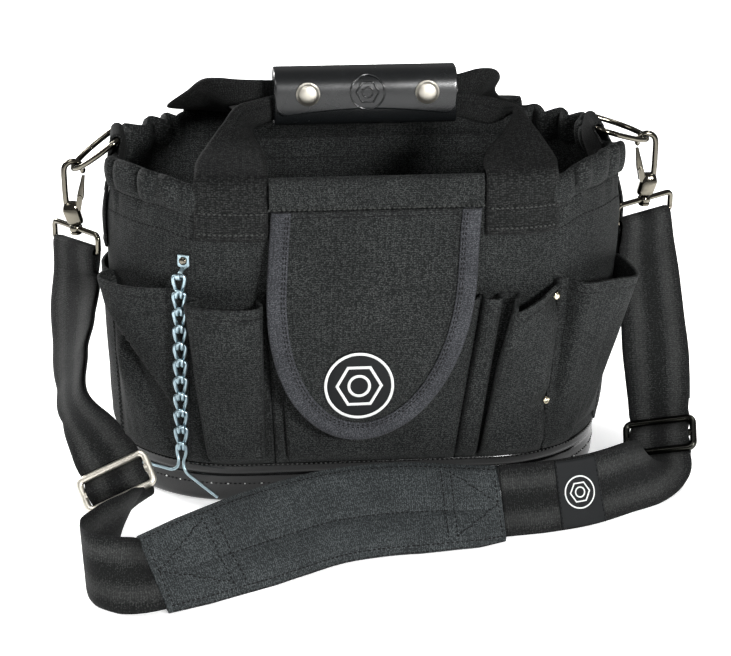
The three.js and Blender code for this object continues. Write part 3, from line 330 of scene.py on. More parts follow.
def looked_up(table, places):
    """Smooth values of a two-column table at the given places."""
    table = np.asarray(table, float)
    dense = curve_at(table, np.linspace(0, 1, 400))
    return np.interp(places, dense[:, 0], dense[:, 1])


def unevenness(u, v, size, seed):
    """Soft repeatable noise from -1 to 1; u and v in millimetres, size is the width of one swell."""
    grid = np.random.default_rng(seed).uniform(-1, 1, (97, 97))
    total = np.zeros(np.broadcast(u, v).shape)
    for octave, share in ((1, 0.65), (2.1, 0.35)):
        x = np.asarray(u, float) * octave / size + 31.7
        y = np.asarray(v, float) * octave / size + 17.3
        i, j = np.floor(x).astype(int), np.floor(y).astype(int)
        fx, fy = ease(x - i), ease(y - j)
        corner = [[grid[(i + a) % 97, (j + b) % 97] for b in (0, 1)] for a in (0, 1)]
        total += share * mix(mix(corner[0][0], corner[1][0], fx), mix(corner[0][1], corner[1][1], fx), fy)
    return total


# The wall's outline: place 0 is the middle of the front, 1 the right end, -1 the left end, 2 the back
def body_size(z):
    grown = ease(np.asarray(z, float) / BODY.full_size_height)
    half_length = mix(BODY.base_half_length, BODY.top_half_length, grown)
    half_depth = mix(BODY.base_half_depth, BODY.top_half_depth, grown)
    return half_length, half_depth, BODY.base_shift * (1 - grown)


def signed_place(place):
    return np.where(np.asarray(place, float) > 2, np.asarray(place, float) - 4, place)


def turn_degrees(place):
    return np.clip((np.abs(signed_place(place)) - 0.5) * 180, 0, 180)


def wall_frame(place, z):
    """Points of the wall's middle and the directions straight out of it."""
    w, z = np.broadcast_arrays(signed_place(place), np.asarray(z, float))
    half_length, half_depth, shift = body_size(z)
    side = np.where(w < 0, -1.0, 1.0)
    degrees = turn_degrees(w)
    turn = np.radians(degrees)
    reach = half_length - BODY.straight_half
    flat = (np.abs(w) <= 0.5) | (np.abs(w) >= 1.5)
    along = np.where(np.abs(w) <= 0.5, 2 * w, 2 * side * (2 - np.abs(w)))
    x = np.where(flat, along * BODY.straight_half, side * (BODY.straight_half + reach * np.sin(turn)))
    out_x = np.where(flat, 0, side * np.sin(turn) / reach)
    out = unit(np.stack([out_x, -np.cos(turn) / half_depth, np.zeros_like(x)], axis=-1))
    pull = np.where(side < 0, PINCH.left, PINCH.right)
    near = bell(degrees - PINCH.middle_degrees, PINCH.spread_degrees)
    pinch = -side * pull * near * ease((z - PINCH.start) / PINCH.reach)
    return np.stack([x + pinch + shift, -half_depth * np.cos(turn), z], axis=-1), out


def wall_point(place, z, offset=0.0):
    middle, out = wall_frame(place, z)
    return middle + out * np.asarray(offset, float)[..., None]


def ruffle(place, z):
    """The solid wall's own waves at the ends of the rim."""
    degrees = turn_degrees(place)
    inside = (degrees > RUFFLE.first) & (degrees < RUFFLE.last)
    clear = ease((np.abs(degrees - 90) - RUFFLE.tab_half + 3) / 6)
    wave = np.sin(2 * np.pi * (degrees - RUFFLE.first) / RUFFLE.wave_degrees)
    rise = ease((z - RUFFLE.start) / RUFFLE.reach)
    return np.where(inside, RUFFLE.depth * wave * clear * rise, 0)


def rim_height(place):
    turn = np.radians(turn_degrees(place))
    return mix(BODY.rim_front, BODY.rim_back, (1 - np.cos(turn)) / 2)


def front_place(x, z):
    """Outline place of a front point that lies x to the side of the middle."""
    x = np.asarray(x, float)
    reach = body_size(z)[0] - BODY.straight_half
    share = np.clip((np.abs(x) - BODY.straight_half) / reach, 0, 1)
    curved = np.sign(x) * (0.5 + np.degrees(np.arcsin(share)) / 180)
    return np.where(np.abs(x) <= BODY.straight_half, x / (2 * BODY.straight_half), curved)


def seam_place(part, z):
    """Outline place of a slanting pocket seam, whose x is known at the pocket's mouth and bottom."""
    top = front_place(part.seam_top_x, POCKET.mouth)
    low = front_place(part.seam_low_x, POCKET.bottom)
    return mix(low, top, (z - POCKET.bottom) / (POCKET.mouth - POCKET.bottom))


# Meshes
def volume(points, faces):
    """Six times the enclosed volume; below zero when the faces point inwards."""
    total = 0.0
    for size in sorted({len(face) for face in faces}):
        corners = np.array([face for face in faces if len(face) == size])
        for k in range(1, size - 1):
            a, b, c = points[corners[:, 0]], points[corners[:, k]], points[corners[:, k + 1]]
            total += np.einsum("ij,ij->", a, np.cross(b, c))
    return total


def grid_faces(starts, closed_across):
    """Four-sided faces of a grid of point numbers, and the same grid's places."""
    rows, columns = starts.shape
    spans = columns if closed_across else columns - 1
    i, j = np.meshgrid(np.arange(rows - 1), np.arange(spans), indexing="ij")
    k = (j + 1) % columns
    faces = np.stack([starts[i, j], starts[i, k], starts[i + 1, k], starts[i + 1, j]], axis=-1)
    corners = ((i, j), (i, j + 1), (i + 1, j + 1), (i + 1, j))
    places = np.stack([np.stack(corner, -1) for corner in corners], axis=2)
    return faces.reshape(-1, 4), places.reshape(-1, 4, 2)


def make_object(name, points, faces, material, uv=None, sharp=None):
    """A mesh object with its faces turned outwards; uv in millimetres, sharp is an angle in degrees."""
    points = np.asarray(points, float)
    turned = volume(points, faces) < 0
    step = -1 if turned else 1
    ordered = [list(face)[::step] for face in faces]
    mesh = bpy.data.meshes.new(name)
    mesh.from_pydata((points * MM).tolist(), [], ordered)
    if uv is not None:
        corners = np.concatenate([np.asarray(face)[::step] for face in uv])
        layer = mesh.uv_layers.new(name="Cloth")
        layer.data.foreach_set("uv", (corners * MM).astype(np.float32).ravel())
    mesh.shade_smooth()
    if sharp is not None:
        mesh.set_sharp_from_angle(angle=math.radians(sharp))
    mesh.materials.append(material)
    obj = bpy.data.objects.new(name, mesh)
    bpy.context.scene.collection.objects.link(obj)
    return obj


def skins(rows, outer, inner, around):
    """Both faces of a cloth whose middle is given, and the directions out of it."""
    rows = np.asarray(rows, float)
    across = np.roll(rows, -1, 1) - np.roll(rows, 1, 1) if around else np.gradient(rows, axis=1)
    normal = unit(np.cross(across, np.gradient(rows, axis=0)))
    outer = np.broadcast_to(np.asarray(outer, float), rows.shape[:2])[..., None]
    inner = np.broadcast_to(np.asarray(inner, float), rows.shape[:2])[..., None]
    return rows + normal * outer, rows - normal * inner, normal


def cloth(name, rows, outer, inner, material, around=False):
    """A closed piece of cloth from a grid of middle points; returns it with its outer face and directions."""
    rows = np.asarray(rows, float)
    count, wide = rows.shape[:2]
    front, back, normal = skins(rows, outer, inner, around)
    numbers = np.arange(count * wide).reshape(count, wide)
    faces, places = grid_faces(numbers, around)
    other, other_places = grid_faces(numbers[:, ::-1] + count * wide, around)
    other_places = other_places * [1, -1] + [0, wide - 1 + (1 if around else 0)]
    closed = np.concatenate([rows, rows[:, :1]], 1) if around else rows
    across = np.linalg.norm(np.diff(closed, axis=1), axis=2).mean(0)
    down = np.linalg.norm(np.diff(rows, axis=0), axis=2).mean(1)
    u = np.concatenate([[0], np.cumsum(across), [0]])
    v = np.concatenate([[0], np.cumsum(down)])
    uv_of = lambda spots: np.stack([u[spots[..., 1]], v[spots[..., 0]]], axis=-1)
    all_faces = [*faces, *other]
    uv = [*uv_of(places), *uv_of(np.clip(other_places, 0, None))]
    edges = [numbers[0], numbers[-1]]
    if not around:
        edges += [numbers[:, 0], numbers[:, -1]]
    for edge, turned in zip(edges, (False, True, True, False)):
        loop = np.append(edge, edge[0]) if around else edge
        for a, b in zip(loop[:-1], loop[1:]):
            face = [a, a + count * wide, b + count * wide, b]
            spots = np.array([divmod(int(k) % (count * wide), wide) for k in face])
            spots[1] = spots[0]
            spots[2] = spots[3]
            all_faces.append(face[::-1] if turned else face)
            uv.append(uv_of(spots[::-1] if turned else spots))
    points = np.concatenate([front.reshape(-1, 3), back.reshape(-1, 3)])
    return make_object(name, points, all_faces, material, uv), front, normal


def stack(rings):
    """Rings of points joined into a closed shell with flat ends."""
    rings = np.asarray(rings, float)
    numbers = np.arange(rings.shape[0] * rings.shape[1]).reshape(rings.shape[:2])
    faces = [list(face) for face in grid_faces(numbers, True)[0]]
    return rings.reshape(-1, 3), [*faces, list(numbers[0][::-1]), list(numbers[-1])]


def tube(line, radius, sides, closed=False):
    """A round wire along a line; the radius may change from point to point."""
    line = np.asarray(line, float)
    ahead = np.roll(line, -1, 0) - np.roll(line, 1, 0) if closed else np.gradient(line, axis=0)
    along = unit(ahead)
    start = np.array([0, 1, 0.0]) if abs(along[0][1]) < 0.8 else np.array([1.0, 0, 0])
    normals = [unit(start - along[0] * (start @ along[0]))]
    for direction in along[1:]:
        normals.append(unit(normals[-1] - direction * (normals[-1] @ direction)))
    twist = 0.0
    if closed:
        back = unit(normals[-1] - along[0] * (normals[-1] @ along[0]))
        twist = math.atan2(np.cross(back, normals[0]) @ along[0], back @ normals[0])
    normals = np.array(normals)
    sideways = np.cross(along, normals)
    turns = np.arange(sides) * 2 * np.pi / sides + (twist * np.arange(len(line)) / len(line))[:, None]
    reach = np.broadcast_to(np.asarray(radius, float), len(line))[:, None, None]
    spread = np.cos(turns)[..., None] * normals[:, None] + np.sin(turns)[..., None] * sideways[:, None]
    rings = line[:, None] + spread * reach
    return closed_band(rings) if closed else stack(rings)


def gathered(shells):
    """Several closed shells, each turned outwards, as one set of points and faces."""
    points, faces, count = [], [], 0
    for corners, sides in shells:
        step = 1 if volume(corners, sides) > 0 else -1
        points.append(corners)
        faces += [[int(k) + count for k in list(face)[::step]] for face in sides]
        count += len(corners)
    return np.concatenate(points), faces


def closed_band(rings):
    """Rings of points joined in order, the last to the first, as a closed shell."""
    numbers = np.arange(len(rings) * len(rings[0])).reshape(len(rings), len(rings[0]))
    numbers = np.concatenate([numbers, numbers[:1]])
    return np.concatenate(rings), [list(face) for face in grid_faces(numbers, True)[0]]


def domed(name, section, steps, sides, radius, tall, look):
    """A round head made from its section: share of the radius, share of the height."""
    rings = [ring(sides, r * radius, h * tall) for r, h in smooth_line(section, steps)]
    return make_object(name, *stack(rings), finish[look])


def rounded_frame(half_wide, top, low, corner, steps):
    """Outline of a frame with round corners, from its top right corner on: sideways, up."""
    wide = half_wide - corner
    high, deep = top - corner, low + corner
    outline = []
    for u, v, first in ((wide, high, 90), (wide, deep, 0), (-wide, deep, -90), (-wide, high, -180)):
        for turn in np.radians(np.linspace(first, first - 90, steps)):
            outline.append((u + corner * math.cos(turn), v + corner * math.sin(turn)))
    return outline


def mesh_points(mesh):
    """Points of a mesh, in metres."""
    points = np.zeros(len(mesh.vertices) * 3)
    mesh.vertices.foreach_get("co", points)
    return points.reshape(-1, 3)


def settle(obj, body, slot, *nodes):
    """The piece rides its body and stands for its solids; its slot is not used."""
    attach(obj, body)
    if nodes:
        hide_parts(*nodes)


def bag_piece(name, shell, look, slot, *nodes, sharp=None):
    """A closed shell as a piece that rides the bag."""
    settle(make_object(name, *shell, finish[look], sharp=sharp), "bag", slot, *nodes)


# Sewing lines wait here until the stitches are made: thread name, points, directions out
sewing = {"dark": [], "bead": [], "light": [], "knots": []}


def sew(thread, points, outward, lift=0.0):
    outward = np.asarray(outward, float)
    sewing[thread].append((np.asarray(points, float) + outward * lift, outward))


# Materials
def fill(tree, made, inputs):
    """Links or fills a node's inputs; another node stands for its first output."""
    for name, value in inputs.items():
        source = value.outputs[0] if isinstance(value, bpy.types.Node) else value
        if isinstance(source, bpy.types.NodeSocket):
            tree.links.new(source, made.inputs[name])
        else:
            made.inputs[name].default_value = source


def node(tree, kind, inputs=None, **settings):
    """Adds a node with its settings and its inputs."""
    made = tree.nodes.new(kind)
    for name, value in settings.items():
        setattr(made, name, value)
    fill(tree, made, inputs or {})
    return made


def start_material(name):
    """A new material, its tree and its shader."""
    made = bpy.data.materials.new(name)
    made.use_nodes = True
    return made, made.node_tree, made.node_tree.nodes["Principled BSDF"]


def rgba(colour):
    return (*colour, 1.0)


def woven(name, base, fleck, thread_mm, fleck_mm, rib_share, sheen_band_mm=0.0):
    """Woven canvas, tape or webbing: dull, with pale flecks where single threads catch the light."""
    made, tree, shader = start_material(name)
    place = node(tree, "ShaderNodeUVMap", uv_map="Cloth").outputs["UV"]
    # The real threads are about 0.5 mm apart, drawn coarser so that they show
    turn = 2 * math.pi / MM
    scaled = node(tree, "ShaderNodeVectorMath", {0: place, 1: (
        turn / (2 * thread_mm), turn / thread_mm, 0)}, operation="MULTIPLY")
    waved = node(tree, "ShaderNodeVectorMath", {0: scaled}, operation="SINE")
    split = node(tree, "ShaderNodeSeparateXYZ", {0: waved})
    ribs = node(tree, "ShaderNodeMath", {0: split, 1: 0.5, 2: split.outputs[1]}, operation="MULTIPLY_ADD")
    cells = node(tree, "ShaderNodeTexVoronoi", {"Vector": place, "Scale": 1 / (fleck_mm * MM)},
                 voronoi_dimensions="2D")
    grain = node(tree, "ShaderNodeSeparateXYZ", {0: cells.outputs["Color"]})
    # Each fleck is brightest in its middle and has a brightness of its own
    spread = node(tree, "ShaderNodeMapRange", {"Value": grain, 1: 0.1, 2: 0.95, 3: 0.0, 4: 1.0})
    spot = node(tree, "ShaderNodeMapRange", {
        "Value": cells.outputs["Distance"], 1: 0.1, 2: 0.6, 3: 1.0, 4: 0.0})
    dot = node(tree, "ShaderNodeMath", {0: spot, 1: spread}, operation="MULTIPLY")
    light = node(tree, "ShaderNodeMath", {0: ribs, 1: rib_share, 2: dot},
                 operation="MULTIPLY_ADD", use_clamp=True)
    if sheen_band_mm:
        # Painted sheen: dark along both edges and the middle, lighter between
        sheen_phase = node(tree, "ShaderNodeVectorMath", {0: place, 1: (turn / sheen_band_mm, 0, 0)},
                      operation="MULTIPLY")
        sheen_wave = node(tree, "ShaderNodeVectorMath", {0: sheen_phase}, operation="COSINE")
        sheen_bands = node(tree, "ShaderNodeSeparateXYZ", {0: sheen_wave})
        light = node(tree, "ShaderNodeMath", {0: sheen_bands, 1: -0.34, 2: light},
                     operation="MULTIPLY_ADD", use_clamp=True)
    colour = node(tree, "ShaderNodeMix", {0: light, 6: rgba(base), 7: rgba(fleck)}, data_type="RGBA")
    cloud = node(tree, "ShaderNodeTexNoise", {"Vector": place, "Scale": 1 / (45 * MM), "Detail": 3.0})
    faded = node(tree, "ShaderNodeMapRange", {"Value": cloud, 1: 0.3, 2: 0.7, 3: 0.75, 4: 1.2})
    shaded = node(tree, "ShaderNodeMix", {0: 1.0, 6: colour.outputs[2], 7: faded},
                  data_type="RGBA", blend_type="MULTIPLY")
    height = node(tree, "ShaderNodeMath", {0: ribs, 1: rib_share, 2: grain}, operation="MULTIPLY_ADD")
    raised = node(tree, "ShaderNodeBump", {"Height": height, "Strength": 0.35, "Distance": 0.6 * MM})
    fill(tree, shader, {
        "Base Color": shaded.outputs[2], "Normal": raised, "Roughness": 0.85, "Specular IOR Level": 0.2,
        "Sheen Weight": 0.06, "Sheen Roughness": 0.5, "Sheen Tint": rgba(fleck)})
    return made


def skinned(name, base, grain_mm, bump, rough_low, rough_high, specular):
    """Finished leather or moulded vinyl: a soft gloss that varies, and a pebbled grain."""
    made, tree, shader = start_material(name)
    place = node(tree, "ShaderNodeTexCoord").outputs["Object"]
    cells = node(tree, "ShaderNodeTexVoronoi", {"Vector": place, "Scale": 1 / (grain_mm * MM)})
    smear = node(tree, "ShaderNodeTexNoise", {"Vector": place, "Scale": 1 / (28 * MM), "Detail": 4.0})
    gloss = node(tree, "ShaderNodeMapRange", {"Value": smear, 1: 0.3, 2: 0.7, 3: rough_low, 4: rough_high})
    scuff = node(tree, "ShaderNodeTexNoise", {"Vector": place, "Scale": 1 / (7 * MM), "Detail": 6.0})
    rubbed = node(tree, "ShaderNodeMapRange", {"Value": scuff, 1: 0.55, 2: 0.8, 3: 0.0, 4: 0.3})
    pale = rgba([min(1.0, c * 2.4) for c in base])
    colour = node(tree, "ShaderNodeMix", {0: rubbed, 6: rgba(base), 7: pale}, data_type="RGBA")
    raised = node(tree, "ShaderNodeBump", {"Height": cells.outputs["Distance"], "Strength": bump,
                                           "Distance": 0.3 * MM})
    fill(tree, shader, {
        "Base Color": colour.outputs[2], "Roughness": gloss, "Normal": raised,
        "Specular IOR Level": specular})
    return made


def plated(name, base, rough_low, rough_high, spot_mm, bump):
    """Plated or polished metal: bright, with handling marks that change its gloss."""
    made, tree, shader = start_material(name)
    place = node(tree, "ShaderNodeTexCoord").outputs["Object"]
    marks = node(tree, "ShaderNodeTexNoise", {"Vector": place, "Scale": 1 / (spot_mm * MM), "Detail": 5.0,
                                              "Roughness": 0.65})
    gloss = node(tree, "ShaderNodeMapRange", {"Value": marks, 1: 0.3, 2: 0.75, 3: rough_low, 4: rough_high})
    dull = rgba([c * 0.72 for c in base])
    tarnish = node(tree, "ShaderNodeMapRange", {"Value": marks, 1: 0.5, 2: 0.8, 3: 0.0, 4: 0.6})
    colour = node(tree, "ShaderNodeMix", {0: tarnish, 6: rgba(base), 7: dull}, data_type="RGBA")
    raised = node(tree, "ShaderNodeBump", {"Height": marks, "Strength": bump, "Distance": 0.2 * MM})
    fill(tree, shader, {
        "Base Color": colour.outputs[2], "Roughness": gloss, "Normal": raised, "Metallic": 1.0})
    return made


def plain_matte(name, base, roughness, spot_mm):
    """Thread, ink, label cloth and floor: matte, with a faint change of shade."""
    made, tree, shader = start_material(name)
    place = node(tree, "ShaderNodeTexCoord").outputs["Object"]
    shade = node(tree, "ShaderNodeTexNoise", {"Vector": place, "Scale": 1 / (spot_mm * MM), "Detail": 3.0})
    share = node(tree, "ShaderNodeMapRange", {"Value": shade, 1: 0.3, 2: 0.7, 3: 0.0, 4: 1.0})
    colour = node(tree, "ShaderNodeMix", {
        0: share, 6: rgba([c * 0.95 for c in base]), 7: rgba(base)}, data_type="RGBA")
    fill(tree, shader, {"Base Color": colour.outputs[2], "Roughness": roughness, "Specular IOR Level": 0.2})
    return made


finish = {}


def mix_materials(context):
    """Makes every material once, from the chosen colours and sizes."""
    colours = context.scene.tool_bag_colours
    # Key, name, base colour, fleck colour, thread spacing, fleck width, share of the ribs, spacing of the
    # painted sheen bands
    woven_rows = [
        # Polyester canvas: dull charcoal, sprinkled with pale thread ends
        ("cloth", "polyester_canvas", colours.cloth, colours.fleck, 1.5, 0.85, 0.08, 0),
        # The same canvas in another shade: cooler and lighter than the bag
        ("pad", "pad_canvas", colours.pad, colours.pad_fleck, 1.5, 0.85, 0.1, 0),
        # Polyester webbing: near black, with a fine pale grain
        ("webbing", "polyester_webbing", colours.webbing, colours.webbing_light, 1.6, 0.9, 0.09, 0),
        # Strap webbing: the same, with two bands of painted sheen along it
        ("strap", "strap_webbing", colours.webbing, colours.webbing_light, 1.5, 0.95, 0.12, 24),
        # Grosgrain tape: a soft grey line round the flap
        ("binding", "grosgrain_binding", colours.binding, colours.binding_light, 1.4, 0.85, 0.08, 0),
    ]
    # Key, name, colour, grain width, bump, lowest roughness, highest roughness, specular level
    skinned_rows = [
        # Moulded vinyl: black, with sharp highlights along its edges
        ("vinyl", "moulded_vinyl", colours.vinyl, 2.4, 0.1, 0.12, 0.26, 0.5),
        # Finished leather: black, with one broad soft highlight over the grip
        ("leather", "finished_leather", colours.leather, 1.6, 0.06, 0.22, 0.3, 1.0),
    ]
    # Key, name, colour, lowest roughness, highest roughness, width of the marks, bump
    plated_rows = [
        # Polished nickel: mirrors the white room and the dark cloth in narrow lines; its colour is far darker
        # than bare nickel, painted shade standing in for a darker room
        ("nickel", "nickel_plate", colours.nickel, 0.06, 0.15, 9, 0.02),
        # Satin nickel: cream and nearly even in tone
        ("satin_nickel", "satin_nickel", colours.satin_nickel, 0.36, 0.5, 9, 0.02),
        # Black nickel: dark, with thin bright edges
        # Nickel with painted shade: the same plate as the left slide, drawn dark as if it mirrored only dark
        # surroundings, with thin bright edges
        ("dark_nickel", "black_nickel", colours.dark_nickel, 0.16, 0.3, 9, 0.02),
        # Zinc plate: pale blue and slightly dull
        ("zinc", "zinc_plate", colours.zinc, 0.28, 0.46, 5, 0.06),
        # Brass: small warm points
        ("brass", "brass_rivet", colours.brass, 0.16, 0.3, 3, 0.03),
    ]
    # Key, name, colour, roughness, width of the shades
    matte_rows = [
        # Thread: matte dots in a row, nearly lost on the cloth
        ("dark_thread", "black_thread", colours.dark_thread, 0.7, 2),
        # Dark thread drawn grey: the grey is painted sheen on the hem and handle stitches
        ("grey_thread", "grey_thread", colours.grey_thread, 0.6, 2),
        ("light_thread", "pale_thread", colours.light_thread, 0.55, 2),
        # Ink: flat and pale
        ("ink", "printed_ink", colours.ink, 0.6, 6),
        # Label cloth: too fine to show threads, a flat black
        ("label", "label_cloth", colours.label, 0.75, 4),
        # Floor: an even white
        ("floor", "pale_floor", colours.floor, 0.9, 900),
    ]
    kinds = ((woven, woven_rows), (skinned, skinned_rows), (plated, plated_rows), (plain_matte, matte_rows))
    for make, rows in kinds:
        for key, *values in rows:
            finish[key] = make(*values)
    # The floor is a table lit from below, which takes the depth out of the shadows beside the bag
    tree = finish["floor"].node_tree
    fill(tree, tree.nodes["Principled BSDF"], {"Emission Color": (1, 1, 1, 1), "Emission Strength": 0.55})


class TOOLBAG_OT_stage(bpy.types.Operator):
    """Camera at the photo's angle, pale floor, soft light and all materials"""

    bl_idname = "toolbag.stage"
    bl_label = "Stage"

    # Camera place and aim in millimetres; the image is taken as 731 by 656
    CAMERA = Sizes(place=(-130.0, -1497.8, 641.2), aim=(1.0, 0.0, 94.0), lens=109.4, sensor=36)
    SKY_STRENGTH = 0.14
    FLOOR_REACH = 6000
    # Soft boxes: name, place x y z, aim x y z, width, height, watts, spread in degrees
    LIGHTS = [
        ("key_box", (820, -2100, 850), (0, -60, 120), 520, 340, 6.2, 60),
        ("side_box", (-800, -1250, 1450), (0, -40, 120), 700, 550, 0.8, 60),
        ("right_floor_box", (560, -60, 700), (560, -60, 0), 420, 1100, 3.8, 60),
        ("left_floor_box", (-520, -60, 700), (-520, -60, 0), 420, 1100, 2.8, 60),
        ("front_floor_box", (0, -520, 700), (0, -520, 0), 1400, 300, 1.8, 60),
        ("rear_box", (-1150, 1150, 900), (0, 60, 140), 700, 500, 4, 60),
        ("back_floor_box", (0, 1450, 900), (0, 1440, 0), 1700, 1500, 16, 84),
    ]

    def execute(self, context):
        mix_materials(context)
        scene = context.scene
        scene.view_settings.view_transform = "Standard"
        lens = bpy.data.cameras.new("photo_camera")
        lens.lens = self.CAMERA.lens
        lens.sensor_width = self.CAMERA.sensor
        lens.sensor_fit = "HORIZONTAL"
        camera = bpy.data.objects.new("photo_camera", lens)
        scene.collection.objects.link(camera)
        self.aim(camera, self.CAMERA.place, self.CAMERA.aim)
        scene.camera = camera
        for name, place, target, width, height, watts, spread in self.LIGHTS:
            lamp = bpy.data.lights.new(name, "AREA")
            lamp.shape = "RECTANGLE"
            lamp.size, lamp.size_y = width * MM, height * MM
            lamp.energy = watts
            lamp.spread = math.radians(spread)
            box = bpy.data.objects.new(name, lamp)
            scene.collection.objects.link(box)
            self.aim(box, place, target)
        world = bpy.data.worlds.new("studio")
        world.use_nodes = True
        sky = world.node_tree
        fill(sky, sky.nodes["Background"], {"Color": (1, 1, 1, 1), "Strength": self.SKY_STRENGTH})
        scene.world = world
        reach = self.FLOOR_REACH
        corners = [(-reach, -reach, 0), (reach, -reach, 0), (reach, reach, 0), (-reach, reach, 0)]
        make_object("floor", corners, [[0, 1, 2, 3]], finish["floor"])
        return {"FINISHED"}

    @staticmethod
    def aim(obj, place, target):
        obj.location = Vector(place) * MM
        obj.rotation_euler = (Vector(target) - Vector(place)).to_track_quat("-Z", "Y").to_euler()


class TOOLBAG_OT_base(bpy.types.Operator):
    """Moulded base pan with its stitched upper edge"""

    bl_idname = "toolbag.base"
    bl_label = "Base"

    # Section from under the floor, up the outside and down the inside: offset from the wall, height
    SECTION = [
        (-5, 0), (-3.2, 0.5), (-1.4, 2), (-0.4, 4.4), (0, 8), (0.15, 14), (0.1, 21.3), (-0.5, 21.9),
        (-0.5, 22.4), (0.3, 23.2), (0.7, 26), (0.6, 28.6), (0, 29.5), (-1.2, 29.5), (-2, 28.6), (-2.4, 24),
        (-2.7, 14), (-3.2, 7), (-5.2, 3.9), (-8, 3.2),
    ]
    # Sewing lines: height, thread, lift from the pan
    SEAMS = [(28.4, "light", 0.9), (14.5, "knots", 0.25), (14.5, "dark", 0.2)]
    # Points round the pan, and the distance from one to the next
    COUNT, STEP = 360, 2.6

    def execute(self, context):
        around = np.linspace(-0.5, 3.5, self.COUNT + 1)[:-1]
        ground = np.zeros(self.COUNT)
        along = np.arange(self.COUNT) * self.STEP
        sag = 0.35 * unevenness(along, 0, 60, 11)
        rings = []
        for offset, z in smooth_line(self.SECTION, 64):
            level = wall_point(around, ground, PAN.over_body + offset + sag * min(1, max(0, z) / 10))
            level[:, 2] = max(0, z)
            rings.append(level)
        bag_piece("base_pan_skin", stack(rings), "vinyl", "vinyl", "base_pan")
        middle, out = wall_frame(around, ground)
        for z, thread, lift in self.SEAMS:
            line = middle + out * (PAN.over_body + lift)
            line[:, 2] = z + 0.5 * unevenness(along, 9, 40, 4)
            sew(thread, np.concatenate([line, line[:1]]), np.concatenate([out, out[:1]]))
        return {"FINISHED"}


